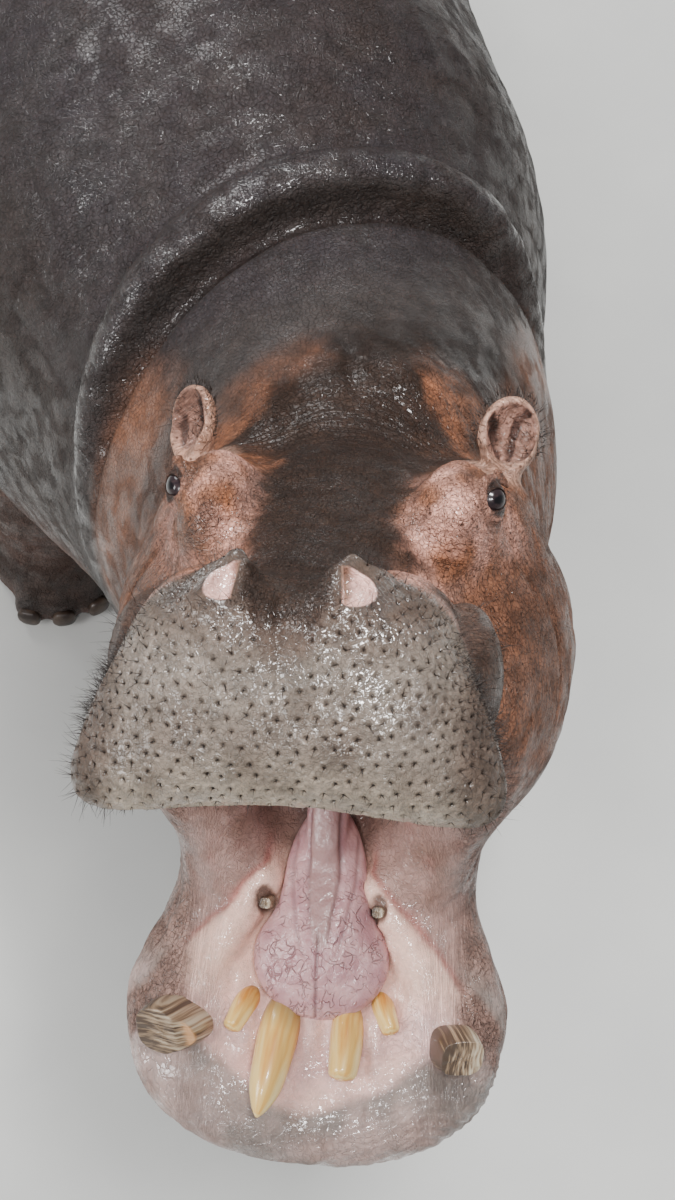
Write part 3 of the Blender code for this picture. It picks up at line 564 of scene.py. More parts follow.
def lidded(m, d):
    """Adds the lids and their folds round an eye to form d, with the opening between them."""
    q = eye_axes(m)
    d = blend(d, length(q) - EYE_RADIUS - LID, 0.012)
    upper = ((0.012, -0.034, 0.010), (0.013, -0.006, 0.027), (0.008, 0.022, 0.026), (0.003, 0.040, 0.008))
    lower = ((0.012, -0.032, -0.014), (0.014, 0.0, -0.026), (0.008, 0.030, -0.016))
    d = blend(d, chain(q, upper, (0.004, 0.0065, 0.0075, 0.005), 0.004), 0.006)
    d = blend(d, chain(q, lower, (0.003, 0.0045, 0.003), 0.004), 0.006)
    return carve(d, ellipsoid(q, (0.027, -0.003, 0.001), (0.021, 0.0160, 0.0115)), 0.003)


def skin(p):
    d = flesh(p) + SKIN_DEPTH
    near = p[:, 1] < -0.85
    h = to_head(p[near])
    e = d[near]
    for side in (1, -1):
        e = blend(e, ear(h, side), 0.012)
    d[near] = lidded(mirrored(h), e)
    return d


def slopes(form, p):
    """Distance and outward slope of a form at points."""
    total = np.zeros_like(p)
    middle = np.zeros(len(p))
    for corner in np.array([(1, -1, -1), (-1, -1, 1), (-1, 1, -1), (1, 1, 1)], float):
        value = worked_out(form, p + corner * PROBE)
        total += value[:, None] * corner
        middle += value / 4.0
    return middle, total / (4.0 * PROBE)


def settled(form, p, rounds=1):
    """Points moved onto a form's surface, and the directions that face out of it there."""
    for _ in range(rounds):
        d, g = slopes(form, p)
        steep = np.maximum(np.einsum("ij,ij->i", g, g), LEAST_SLOPE)
        p = p - g * np.clip(d / steep, -MOST_MOVE, MOST_MOVE)[:, None]
    return p, unit(g)


def grounded(points):
    """Points brought onto the skin, or under the soles onto the ground, and the outward directions."""
    sole = points[:, 2] < SKIN_DEPTH + SOLE_BAND
    moved, outward = settled(skin, points)
    moved[sole] = points[sole]
    moved[sole, 2] = SKIN_DEPTH
    outward[sole] = (0, 0, -1)
    return moved, outward


def evened(points, edges, rounds=2):
    """Points drawn towards the middle of their neighbours."""
    count = np.bincount(edges.ravel(), minlength=len(points))[:, None]
    for _ in range(rounds):
        total = np.column_stack([
            np.bincount(edges[:, 0], points[edges[:, 1], a], len(points))
            + np.bincount(edges[:, 1], points[edges[:, 0], a], len(points))
            for a in range(3)
        ])
        points = 0.5 * points + 0.5 * total / np.maximum(count, 1)
    return points


# ---- meshes ----


def mesh_of(name, points, faces):
    """Mesh of points and faces, where all faces have the same number of corners."""
    mesh = bpy.data.meshes.new(name)
    faces = np.asarray(faces, np.int32)
    mesh.vertices.add(len(points))
    mesh.vertices.foreach_set("co", np.asarray(points, np.float32).ravel())
    mesh.loops.add(faces.size)
    mesh.loops.foreach_set("vertex_index", faces.ravel())
    mesh.polygons.add(len(faces))
    mesh.polygons.foreach_set("loop_start", np.arange(0, faces.size, faces.shape[1], dtype=np.int32))
    mesh.update(calc_edges=True)
    mesh.validate()
    mesh.shade_smooth()
    return mesh


def points_of(mesh):
    co = np.empty(len(mesh.vertices) * 3, np.float32)
    mesh.vertices.foreach_get("co", co)
    return co.reshape(-1, 3).astype(float)


def edges_of(mesh):
    ends = np.empty(len(mesh.edges) * 2, np.int32)
    mesh.edges.foreach_get("vertices", ends)
    return ends.reshape(-1, 2)


def move(mesh, points):
    mesh.vertices.foreach_set("co", np.asarray(points, np.float32).ravel())
    mesh.update()


def refine(mesh, wanted):
    """Splits the faces whose corners are all wanted into four."""
    bm = bmesh.new()
    bm.from_mesh(mesh)
    faces = [f for f in bm.faces if all(wanted[v.index] for v in f.verts)]
    edges = list({e for f in faces for e in f.edges})
    bmesh.ops.subdivide_edges(bm, edges=edges, cuts=1, use_grid_fill=True)
    bm.to_mesh(mesh)
    bm.free()
    mesh.shade_smooth()


def keep(mesh, name, values):
    """Stores a number or a colour for each point of a mesh."""
    values = np.asarray(values, np.float32)
    if name == "flow":
        layer = mesh.attributes.new(name, "FLOAT_VECTOR", "POINT")
        layer.data.foreach_set("vector", values.ravel())
    elif values.ndim == 2:
        layer = mesh.attributes.new(name, "FLOAT_COLOR", "POINT")
        layer.data.foreach_set("color", np.column_stack([values, np.ones(len(values))]).ravel())
    else:
        layer = mesh.attributes.new(name, "FLOAT", "POINT")
        layer.data.foreach_set("value", values)


def piece(name, mesh, material, slot, *nodes):
    """A finished piece of the animal that stands for CAD nodes. Its points are in the animal's own axes."""
    move(mesh, points_of(mesh) + ORIGIN_SHIFT)
    obj = bpy.data.objects.new(name, mesh)
    bpy.context.collection.objects.link(obj)
    mesh.materials.clear()
    mesh.materials.append(material)
    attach(obj, "root")
    if nodes:
        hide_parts(*nodes)
    return obj


# ---- colours ----


def srgb(red, green, blue):
    c = np.array((red, green, blue)) / 255.0
    return np.where(c <= 0.04045, c / 12.92, ((c + 0.055) / 1.055) ** 2.4)


HIDE = srgb(50, 40, 35)
HIDE_GREY = srgb(56, 52, 51)
HIDE_DARK = srgb(36, 24, 18)
CROWN = srgb(45, 30, 21)
# colour of painted shade in the hollow round each premolar
SOCKET_SHADE = srgb(86, 62, 52)
HIDE_PURPLE = srgb(44, 38, 41)
BELLY = srgb(128, 94, 82)
RUST = srgb(152, 96, 66)
CHEEK_RUST = srgb(114, 78, 60)
JOWL = srgb(152, 124, 114)
ROSE = srgb(216, 160, 142)
FRECKLE = srgb(58, 32, 22)
PAD = srgb(116, 105, 95)
PAD_RIM = srgb(170, 156, 138)
PAD_BACK = srgb(70, 54, 45)
EAR_PALE = srgb(190, 150, 130)
EAR_INSIDE = srgb(142, 104, 92)
EAR_DARK = srgb(66, 44, 38)
CHEEK_INSIDE = srgb(172, 138, 128)
CHEEK_BROWN = srgb(124, 94, 80)
GUM = srgb(240, 196, 178)
GUM_LILAC = srgb(216, 176, 172)
GUM_RED = srgb(164, 96, 88)
# dark colour of painted shade, down the throat and in the tongue's grooves
MOUTH_SHADE = srgb(60, 32, 32)
LIP = srgb(170, 146, 138)
LIP_GREY = srgb(132, 119, 112)
NOSTRIL_PINK = srgb(222, 176, 164)
NOSTRIL_TAN = srgb(140, 106, 88)
# dark colour of painted shade, in the bristles' pits and in the gap round each eyeball
CREVICE_SHADE = srgb(36, 24, 20)
TONGUE = srgb(176, 128, 132)
TONGUE_PALE = srgb(200, 156, 156)
STRAP = srgb(158, 124, 120)
IVORY = srgb(228, 186, 104)
IVORY_STAIN = srgb(206, 136, 52)
IVORY_PALE = srgb(240, 214, 150)
STUMP = srgb(104, 84, 60)
STUMP_CREAM = srgb(190, 176, 152)
STUMP_TAN = srgb(146, 122, 96)
STUMP_DARK = srgb(62, 46, 34)
NUB = srgb(196, 142, 88)
NAIL = srgb(78, 64, 54)
BRISTLE = srgb(26, 18, 14)
EYE_WHITE = srgb(70, 44, 40)
EYE_RIM = srgb(40, 28, 30)
IRIS = srgb(50, 38, 38)
IRIS_DARK = srgb(30, 22, 26)
PUPIL = np.array((0.003, 0.002, 0.003))
FLOOR = srgb(214, 214, 210)
FLOOR_SHADE = srgb(206, 206, 203)


def over(colour, *coats):
    """The colour with others laid over it one by one, each with its share."""
    for top, share in coats:
        colour = colour + (np.asarray(top) - colour) * np.reshape(np.clip(share, 0.0, 1.0), (-1, 1))
    return colour


# ---- folds and pits of the skin ----


def pad_share(h):
    """How much a point of the head belongs to the bristled front of the muzzle."""
    back = -0.372 + 0.25 * np.clip(h[:, 2], -0.2, 0.1) + 0.10 * np.abs(h[:, 0])
    return step(back + 0.02, back - 0.02, h[:, 1]) * (1.0 - valley(h) * step(-0.006, 0.016, h[:, 2]))


def above_lip(h):
    """Height of a point on the muzzle, less what the upper lip's edge sags towards the sides."""
    return h[:, 2] + 0.9 * h[:, 0] ** 2


def arched(h):
    """Points of the head's frame in which lines across the head run level, though they arch forward."""
    return np.column_stack([h[:, 0], h[:, 1] + 0.9 * h[:, 0] ** 2, h[:, 2]])


def slanted(h):
    """Points of the head's frame in which lines down the cheeks run level, though they slant."""
    x, y, z = h.T
    return np.column_stack([x, y - 0.35 * z, z + 0.35 * y])


def widening(h):
    """How much wider the dip between the nostrils is here than at its foot."""
    return 0.036 * np.clip((h[:, 2] + 0.045) / 0.080, 0.0, 1.0)


def valley(h):
    """How much a point lies in the dip between the nostrils, which narrows downwards."""
    width = 0.012 + widening(h)
    return step(width + 0.006, width - 0.006, np.abs(h[:, 0])) * step(-0.055, -0.030, h[:, 2])


def traced(form, origins, directions, reach):
    """Where rays from outside meet a form, and whether they do."""
    distance = np.zeros(len(origins))
    for _ in range(RAY_STEPS):
        at = origins + directions * distance[:, None]
        distance = distance + RAY_SHARE * worked_out(form, at)
    return at, (distance < reach) & (np.abs(worked_out(form, at)) < 0.001)


def pits():
    """Roots of the bristles on the muzzle, in uneven rows."""
    rng = np.random.default_rng(11)
    spacing, row_turn = PIT_SPACING, PIT_ROWS / PAD_ROUND
    turns, across = np.meshgrid(np.arange(-1.25, 1.9, row_turn), np.arange(-0.30, 0.30, spacing))
    across = across + (np.round(turns / row_turn).astype(int) % 2) * spacing / 2
    turns = (turns + rng.uniform(-0.026, 0.026, turns.shape)).ravel()
    across = (across + rng.uniform(-0.0035, 0.0035, across.shape)).ravel()
    splay = np.clip(across / 0.26, -1.0, 1.0) * 0.95
    out = np.column_stack([np.sin(splay), -np.cos(splay) * np.cos(turns), np.cos(splay) * np.sin(turns)])
    middle = np.column_stack([across * 0.62, np.full(len(across), -0.400), np.full(len(across), -0.110)])
    at, met = traced(skin, from_head(middle + out * 0.30), -out @ HEAD.T, 0.45)
    h = to_head(at)
    met &= (pad_share(h) > 0.35) & (h[:, 1] < -0.34)
    met &= worked_out(mouth, at) > 0.010
    met &= length(mirrored(h) - np.array(NOSTRIL_AT)) > 0.038
    met &= (valley(h) < 0.3) & (above_lip(h) > -0.205)
    return at[met]


def tree_of(points):
    """Tree that finds the nearest of some points."""
    tree = KDTree(len(points))
    for i, point in enumerate(points):
        tree.insert(point, i)
    tree.balance()
    return tree


def ear_cup(h):
    """How much a point lies in the hollow of an ear."""
    share = np.zeros(len(h))
    for side in (1, -1):
        q = ear_axes(h, side)
        rim = step(-0.016, -0.010, q[:, 1]) * (q[:, 1] < 0.012)
        share = np.maximum(share, step(0.0050, 0.0010, np.abs(ellipsoid(q, *EAR_HOLLOW))) * rim)
    return share


def ear_ribs(h):
    """Waves from -1 to 1 for the ribs that fan out in the hollow of the nearer ear."""
    q = np.where((h[:, 0] > 0)[:, None], ear_axes(h, 1), ear_axes(h, -1))
    heading = np.arctan2(q[:, 0], q[:, 2] + 0.055)
    return np.sin(heading * 13.0 + 0.8 * noise(h, 0.012, 47))


def gum_line(j):
    """How far a point of the jaw lies outside the line where its gum meets the cheek."""
    return np.abs(j[:, 0]) - 0.060 - 0.92 * np.clip(-0.27 - j[:, 1], 0.0, 0.19)


def lip_line(j):
    """How far back a point lies on the jaw, measured along the curve of the lower lip."""
    return j[:, 1] - 3.0 * np.clip(j[:, 0] ** 2, 0.0, 0.022)


def parts_of(p, h, m, j):
    """How much each point belongs to each part of the animal."""
    inside = step(0.030, 0.004, mouth(p)) * (p[:, 1] < -0.8)
    on_head = step(-0.86, -0.98, p[:, 1])
    behind, around = fold_sheet(p)
    premolar_x = np.where(j[:, 0] > 0, PREMOLAR_X[1], PREMOLAR_X[-1])
    premolar = np.hypot((j[:, 0] - premolar_x) * 1.5, j[:, 1] + 0.316)
    return dict(
        inside=inside,
        on_head=on_head,
        body=1.0 - step(-0.72, -0.86, p[:, 1]),
        pad=pad_share(h) * on_head * (1.0 - inside),
        roof=inside * step(-0.16, -0.20, h[:, 2]) * (h[:, 1] < -0.10) * step(-0.24, -0.205, h[:, 2]),
        socket=step(0.021, 0.014, premolar) * (np.abs(j[:, 2]) < 0.05),
        sausage=bump_at(behind, 0.0, 0.05) * (p[:, 2] > 1.0),
        cup=ear_cup(h),
        ring=length(eye_axes(m)),  # distance from the eye's middle
        crease=behind + CREASE_AHEAD,
        around=around,
    )


def body_relief(p, part):
    """Wrinkles of the trunk, folds before the thighs, rings above the feet, lines across the neck's roll."""
    x, y, z = p.T
    weave = p * (0.5, 1, 0.35)
    lift = 0.0014 * layered(p, 0.12, 3)
    lift -= part["body"] * (0.0030 * lines_of(weave, 0.060, 71) + 0.0016 * lines_of(weave, 0.030, 72))
    flank = part["body"] * step(0.70, 0.45, z) * step(0.30, 0.42, z) * (np.abs(x) > 0.30)
    for _, foot_y in HIND_FEET:
        lift -= flank * 0.006 * bump_at(y, foot_y - 0.30, 0.018)
    low = step(0.46, 0.30, z) * step(0.085, 0.120, z)
    lift -= low * 0.0042 * (0.5 + 0.5 * waves(z, 0.030, 2.2 * noise(p, 0.09, 73))) ** 2
    cross = np.column_stack([part["around"] * 0.42, y * 0.22, z * 0.1])
    return lift - part["sausage"] * 0.0016 * lines_of(cross, 0.012, 75)


def neck_relief(h, m, part):
    """Wrinkles that cross the neck and the poll, and two mounds behind it with a furrow between them."""
    hx, hy, hz = h.T
    neck = part["on_head"] * step(0.10, 0.18, hy) * (1.0 - part["inside"])
    lift = -neck * 0.0022 * lines_of(arched(h) * (0.22, 1, 0.3), 0.026, 21)
    curved = hy + 0.75 * hx**2
    poll = bump_at(curved, 0.215, 0.035) * step(0.15, 0.10, m[:, 0]) * (hz > -0.08)
    lift -= poll * 0.0022 * (0.5 + 0.5 * waves(curved, 0.0125, 1.4 * noise(h, 0.05, 24)))
    mound = bump_at(hy, 0.300, 0.034) * bump_at(m[:, 0], 0.052, 0.040)
    furrow = bump_at(hx, -0.008 - 0.32 * (hy - 0.26), 0.013) * step(0.235, 0.262, hy) * step(0.42, 0.34, hy)
    return lift + 0.0075 * (mound - furrow) * (hz > -0.06) * part["on_head"]


def face_relief(h, m, part):
    """Lines along the snout, folds round the eyes and down the cheeks, and the ears' ribs."""
    hx, hy, hz = h.T
    on_head, ring = part["on_head"], part["ring"]
    plain = on_head * (1.0 - part["pad"]) * (1.0 - part["inside"])
    lift = -plain * step(0.16, 0.10, hy) * 0.0012 * lines_of(h * (1, 0.45, 1), 0.020, 31)
    dip = on_head * valley(h) * (hy < -0.36)
    lift -= dip * (0.0016 * lines_of(h, 0.011, 33) + 0.0011 * lines_of(h, 0.0065, 34))
    groove = bump_at(hx + 0.006 + 0.10 * hz, 0.0, 0.0060) * step(-0.13, -0.07, hz) * (hy < -0.40)
    lift -= on_head * 0.0040 * groove
    around_eye = on_head * step(0.075, 0.034, ring) * step(0.029, 0.034, ring)
    lift -= around_eye * 0.0016 * (0.5 + 0.5 * waves(ring, 0.0085, 2.0 * noise(m, 0.02, 41)))
    lift -= plain * step(0.13, 0.17, m[:, 0]) * 0.0026 * lines_of(slanted(h) * (0.4, 1, 0.3), 0.034, 43)
    return lift - part["cup"] * 0.0022 * step(-0.2, 0.6, ear_ribs(h))


def muzzle_relief(h, part, reach):
    """Pads of the muzzle between the bristles' pits."""
    pad = part["pad"] * 0.0012 * layered(h, 0.035, 51, 2)
    return pad + 0.0009 * bump_at(reach, 0.0062, 0.0022) - 0.0030 * bump_at(reach, 0.0, 0.0026)


def mouth_relief(h, m, j, part):
    """Ridges of the palate, creases of the cheeks, lumps of the gums and folds of the lower lip."""
    jx, jy, jz = j.T
    line = gum_line(j)
    lift = part["roof"] * 0.0030 * waves(h[:, 1] + 0.6 * m[:, 0] ** 2 / 0.15, 0.034)
    fleshy = part["inside"] * (1.0 - part["roof"])
    lift -= fleshy * (0.0022 * lines_of(j * (1, 0.35, 0.5), 0.022, 61) + 0.0010 * lines_of(j, 0.012, 62))
    lift -= fleshy * 0.0050 * (bump_at(line, 0.006, 0.007) * step(-0.22, -0.27, jy) + part["socket"])
    lumps = fleshy * step(-0.40, -0.44, jy) * step(0.0, -0.02, line)
    lift += lumps * 0.0062 * np.cos(jx * 2 * math.pi / 0.041) * bump_at(jy, -0.470, 0.045)
    lift += lumps * 0.0030 * layered(j * (1, 0.5, 1), 0.018, 66, 2)
    lip = part["on_head"] * step(-0.47, -0.51, jy) * step(-0.13, -0.07, jz)
    lift -= lip * 0.0022 * lines_of(j * (0.5, 1, 1), 0.030, 64)
    ripples = lip * step(-0.02, 0.05, jx + 0.02 * noise(j, 0.03, 67))
    return lift + 0.0011 * ripples * waves(lip_line(j), 0.0115, 1.6 * noise(j, 0.035, 68))


def hide_colours(p, n, h, m, j, part):
    """Colour of the trunk, legs, neck and head, with painted shade in the crease before the neck's roll and
    on the cheek below each eye, and how freckled they are. Adds to part how matt.
    """
    hx, hy, hz = h.T
    z, up, aside = p[:, 2], n[:, 2], m[:, 0]
    on_head, body = part["on_head"], part["body"]
    broad, middling = layered(p, 0.22, 81), layered(p, 0.055, 84)
    under = step(0.85, 0.45, z + 0.10 * broad) * step(0.5, -0.4, up)
    nape = on_head * step(0.02, 0.12, hy) * step(-0.16, -0.02, hz)
    # rust and rose on the temples, round the eyes, behind the ears and down the cheeks
    edge = aside + 0.028 * middling + 0.012 * noise(p, 0.016, 96)
    low = step(-0.03, -0.10, hz)
    behind = 0.34 + 0.16 * step(0.0, -0.06, hz) + 0.05 * middling
    upper = np.clip(step(-0.26, -0.20, j[:, 1]) + step(-0.30, -0.22, hz + 0.03 * middling), 0.0, 1.0)
    rusty = on_head * step(0.060, 0.125, edge + 0.03 * bump_at(hy, 0.30, 0.06))
    rusty = rusty * step(behind + 0.06, behind - 0.06, hy) * upper
    patchy = step(-0.45, 0.30, layered(p, 0.060, 95))
    rosy = rusty * step(0.13, 0.02, hy) * step(-0.14, -0.03, hz)
    snout = rusty * bump_at(hy, -0.25, 0.08) * step(-0.16, -0.05, hz)
    # dark crown: narrow between the eyes, wide as the ears behind them
    width = 0.098 + 0.080 * bump_at(hy, 0.195, 0.050) - 0.055 * step(0.25, 0.34, hy)
    crown = on_head * step(width + 0.030, width - 0.026, edge) * step(-0.14, -0.07, hz)
    crown_tone = over(CROWN, (HIDE_DARK, 0.35 + 0.5 * noise(p, 0.011, 102)))
    # reddish brown down the sides of the neck, behind the cheeks and the ears
    flank = step(0.36, 0.46, hy) * step(0.03, -0.03, part["crease"])
    flank = flank * step(0.03, -0.07, hz + 0.03 * middling)
    flank = flank * step(0.10, 0.18, np.abs(hx)) * step(0.8, 1.0, z)
    mandible = on_head * step(-0.24, -0.34, hz) * step(-0.10, -0.22, j[:, 1])
    jowl = on_head * step(-0.22, -0.40, hz) * (hy > -0.25)
    colour = over(
        HIDE,
        (HIDE_GREY, 0.45 + 0.9 * broad),
        (HIDE_PURPLE, step(0.2, 0.9, up) * body * (0.6 + 0.5 * middling)),
        (BELLY, under * body),
        (HIDE, step(0.55, 0.30, z) * 0.6),
        # painted shade: darker in the crease before the roll over the shoulders
        (HIDE_DARK, step(0.05, 0.0, np.abs(part["crease"])) * (z > 0.9) * 0.6),
        (HIDE_DARK, nape * (0.55 + 0.40 * middling)),
        (CHEEK_RUST, rusty * 0.9),
        (RUST, rusty * patchy * (0.95 - 0.55 * low)),
        (ROSE, 0.85 * rosy * step(-0.35, 0.25, layered(p, 0.045, 91))),
        (ROSE, 0.50 * snout * step(-0.3, 0.3, layered(p, 0.04, 92))),
        (HIDE_DARK, 0.60 * rusty * step(0.10, 0.70, layered(p, 0.034, 98))),
        (crown_tone, crown * step(0.48, 0.36, hy) * (0.93 - 0.10 * middling)),
        (CHEEK_RUST, 0.80 * flank),
        (HIDE_DARK, 0.30 * flank * step(0.2, -0.3, hx + 0.3 * middling)),
        (RUST, 0.35 * flank * patchy),
        (over(JOWL, (CHEEK_BROWN, 0.2 + 0.5 * middling)), 0.85 * mandible),
        (BELLY, 0.30 * jowl),
        # painted shade on the cheek below each eye, under the bulge of the orbit
        (HIDE_DARK, 0.45 * rusty * bump_at(hz, -0.125, 0.055) * step(0.17, 0.23, aside)),
    )
    part["matt"] = np.clip(np.max([rusty, crown, flank, 0.7 * nape], axis=0) - part["pad"], 0.0, 1.0)
    freckled = np.maximum(rusty, 0.45 * crown)
    return colour, np.clip(freckled - part["pad"] - part["inside"], 0.0, 1.0)


def muzzle_colours(colour, p, h, m, part):
    """The colour with the muzzle's pad, its lobes, the dip between the nostrils, the nostrils and painted
    shade in the bristles' pits added.
    """
    hx, hy, hz = h.T
    on_head, aside = part["on_head"], m[:, 0]
    lobe = on_head * step(-0.19, -0.24, hy) * step(0.125, 0.155, aside) * (1.0 - part["pad"])
    front = over(
        PAD,
        (PAD_RIM, step(-0.125, -0.215, above_lip(h) - 0.02)),
        (PAD_BACK, 0.18 + 0.55 * layered(p, 0.05, 97)),
        (PAD_BACK, 0.8 * step(-0.045, 0.020, hz)),
        (PAD_BACK, 0.75 * step(0.165, 0.215, aside)),
    )
    width = 0.020 + widening(h)
    dip = on_head * step(width + 0.012, width - 0.016, np.abs(hx) + 0.012 * noise(p, 0.016, 93))
    dip = dip * step(-0.060, -0.010, hz) * (hy < -0.36)
    top = dip * step(-0.012, 0.034, hz + 0.010 * noise(p, 0.012, 94))
    slit = nostril(m)
    here = on_head * (hy < -0.34)
    wall = over(NOSTRIL_PINK, (NOSTRIL_TAN, step(0.068, 0.058, aside + 0.004 * noise(p, 0.01, 99))))
    return over(
        colour,
        (PAD_BACK, 0.95 * lobe),
        (front, part["pad"]),
        (PAD_BACK, 0.75 * dip),
        (over(CROWN, (HIDE_DARK, 0.30)), 0.90 * top),
        (PAD_BACK, 0.7 * here * step(0.012, 0.003, slit)),
        (wall, here * step(0.0045, 0.0020, slit)),
        # painted shade in the bristles' pits
        (CREVICE_SHADE, 0.60 * part["pit"] * part["pad"]),
    )


def mouth_colours(colour, p, n, h, m, j, part):
    """The colour with the inside of the mouth, painted shade down the throat and round the premolars, and
    the lower lip added, and how moist they are.
    """
    hy, hz, aside, jy, jz = h[:, 1], h[:, 2], m[:, 0], j[:, 1], j[:, 2]
    on_head = part["on_head"]
    line = gum_line(j) + 0.006 * noise(p, 0.03, 103)
    gum = over(GUM, (GUM_LILAC, step(-0.40, -0.46, jy) * (0.6 + 0.5 * layered(p, 0.04, 104))))
    tone = over(
        CHEEK_INSIDE,
        (CHEEK_BROWN, step(-0.35, 0.65, layered(p, 0.045, 101)) * 0.6),
        (gum, step(0.010, -0.006, line) * step(-0.235, -0.275, jy)),
        (GUM_RED, 0.75 * bump_at(line, 0.004, 0.0055) * step(-0.22, -0.27, jy)),
        (GUM_RED, 0.25 * step(0.1, 0.6, layered(p, 0.035, 107))),
        # painted shade down the throat, at the back of the mouth
        (MOUTH_SHADE, step(-0.27, -0.12, jy) * step(0.056, 0.040, aside) * (hz < -0.12)),
        (GUM, part["roof"] * 0.6),
    )
    between = on_head * step(-0.20, -0.25, hz) * step(-0.14, -0.06, jz) * step(0.185, 0.150, aside)
    between = between * step(0.35, 0.05, n @ HEAD[:, 1]) * (hy > -0.30)
    share = np.maximum(part["inside"], between)
    front = on_head * step(-0.13, -0.06, jz)
    front = front * step(-0.548, -0.572, lip_line(j) + 0.016 * noise(p, 0.04, 109))
    rim = on_head * step(0.004, 0.024, line) * step(-0.36, -0.42, jy) * step(-0.10, -0.05, jz)
    lip = np.maximum(front, rim) * (hz < -0.25)
    lip_tone = over(
        LIP,
        (LIP_GREY, step(-0.30, 0.30, layered(p, 0.065, 105))),
        (CHEEK_BROWN, 0.45 * step(0.0, 0.6, layered(p, 0.05, 106))),
    )
    # painted shade in the hollow round each premolar
    colour = over(colour, (tone, share), (SOCKET_SHADE, 0.90 * part["socket"] * part["inside"]), (lip_tone, lip))
    return colour, np.maximum(share, 0.9 * lip)


def flow_of(p, h, m, part):
    """Coordinates in which the skin's fine wrinkles run evenly, and how deep they are."""
    on_head = part["on_head"]
    flow = p * (0.5, 1, 0.35)
    for way, share in (
        (arched(h) * (0.25, 1, 0.4), on_head),
        (h * (1, 0.55, 1), on_head * step(0.15, 0.09, h[:, 1])),
        (slanted(h) * (0.5, 1, 0.35), on_head * (step(0.12, 0.18, m[:, 0]) * step(-0.02, -0.09, h[:, 2]))),
    ):
        flow = flow + (way - flow) * share[:, None]
    depth = 0.55 * part["body"] + 0.9 * on_head
    return flow, depth * (1.0 - 0.75 * part["pad"]) * (1.0 - 0.6 * part["inside"])


def colours_of(p, n, h, m, j, part):
    """Colour of the skin, how wet it is, how crackled, how freckled and how finely wrinkled."""
    hx, hz = h[:, 0], h[:, 2]
    on_head, pad, ring = part["on_head"], part["pad"], part["ring"]
    colour, freckled = hide_colours(p, n, h, m, j, part)
    colour = muzzle_colours(colour, p, h, m, part)
    eared = np.max([
        step(0.074, 0.054, length(q * (1, 1, 0.85))) * step(-0.074, -0.050, q[:, 2])
        for q in (ear_axes(h, 1), ear_axes(h, -1))
    ], axis=0)
    stripes = step(0.0, 0.7, ear_ribs(h) + 0.5 * noise(h, 0.02, 48))
    stripes = stripes * step(-0.70, -0.10, noise(p, 0.013, 50))
    above_eye = step(0.0, 0.03, m[:, 2] - EYE_AT[2])
    colour = over(
        colour,
        (over(CHEEK_RUST, (HIDE_DARK, 0.45)), 0.55 * on_head * step(0.052, 0.040, ring)),
        (ROSE, 0.45 * on_head * bump_at(ring, 0.062, 0.012) * above_eye),
        # painted shade in the gap between the lids and the eyeball
        (CREVICE_SHADE, 0.9 * on_head * step(0.0318, 0.0292, ring)),
        (EAR_PALE, on_head * eared * (0.75 + 0.30 * noise(p, 0.02, 49))),
        (EAR_INSIDE, 0.75 * part["cup"]),
        (EAR_DARK, 0.95 * part["cup"] * stripes),
    )
    colour, moist = mouth_colours(colour, p, n, h, m, j, part)

    drenched = bump_at(hx, 0.080, 0.085) * bump_at(hz, -0.055, 0.050) + 0.8 * step(-0.03, 0.01, hz)
    wet = np.max([
        0.35 + 0.35 * layered(p, 0.12, 111),
        on_head * (0.60 + 0.5 * layered(p, 0.07, 114)) * (1.0 - 0.60 * part["matt"]),
        0.9 * part["sausage"],
        moist * (1.25 + 0.5 * layered(p, 0.06, 117)),
        pad * (0.36 + 0.4 * layered(p, 0.07, 118) + 1.5 * drenched),
    ], axis=0)
    flow, creased = flow_of(p, h, m, part)
    return dict(
        tint=colour,
        wet=np.clip(wet, 0.0, 1.6),
        crackle=np.clip(0.9 - 0.9 * moist - 0.45 * pad - 0.6 * eared, 0.05, 1.0),
        freckle=freckled,
        pebble=np.clip(part["body"] * step(0.3, 0.7, p[:, 2]) + 0.5 * on_head * (1.0 - moist), 0.1, 1.0),
        flow=flow,
        creased=creased * (1.0 - 0.5 * moist),
        mottled=1.0 - 0.65 * moist,
    )


# ---- materials ----


def shaded(name):
    material = bpy.data.materials.new(name)
    material.use_nodes = True
    tree = material.node_tree
    return material, tree, tree.nodes["Principled BSDF"]


def connect(tree, made, inputs):
    """Sets a node's inputs: an output is linked, and a number or colour goes on the socket itself."""
    for socket, value in dict(inputs).items():
        if isinstance(value, bpy.types.NodeSocket):
            tree.links.new(value, made.inputs[socket])
        else:
            made.inputs[socket].default_value = value
    return made


def node(tree, kind, inputs=(), **settings):
    made = tree.nodes.new(kind)
    for key, value in settings.items():
        setattr(made, key, value)
    return connect(tree, made, inputs)


def place(tree):
    return node(tree, "ShaderNodeTexCoord").outputs["Object"]


def kept(tree, name, output="Fac"):
    return node(tree, "ShaderNodeAttribute", attribute_name=name).outputs[output]


def clouds(tree, vector, scale, detail=3.0, distortion=0.0):
    inputs = {"Vector": vector, "Scale": scale, "Detail": detail, "Distortion": distortion}
    return node(tree, "ShaderNodeTexNoise", inputs).outputs["Fac"]


def cracks(tree, vector, scale, feature="DISTANCE_TO_EDGE"):
    made = node(tree, "ShaderNodeTexVoronoi", {"Vector": vector, "Scale": scale}, feature=feature)
    return made.outputs["Distance"]


def fitted(tree, value, from_low, from_high, low, high):
    inputs = {"Value": value, "From Min": from_low, "From Max": from_high, "To Min": low, "To Max": high}
    return node(tree, "ShaderNodeMapRange", inputs).outputs["Result"]


def maths(tree, a, b, operation="ADD"):
    return node(tree, "ShaderNodeMath", {0: a, 1: b}, operation=operation).outputs["Value"]


def product(tree, value, *others):
    for other in others:
        value = maths(tree, value, other, "MULTIPLY")
    return value


def mixed(tree, share, a, b, how="MIX"):
    made = node(tree, "ShaderNodeMix", {0: share, 6: a, 7: b}, data_type="RGBA", blend_type=how)
    return made.outputs[2]


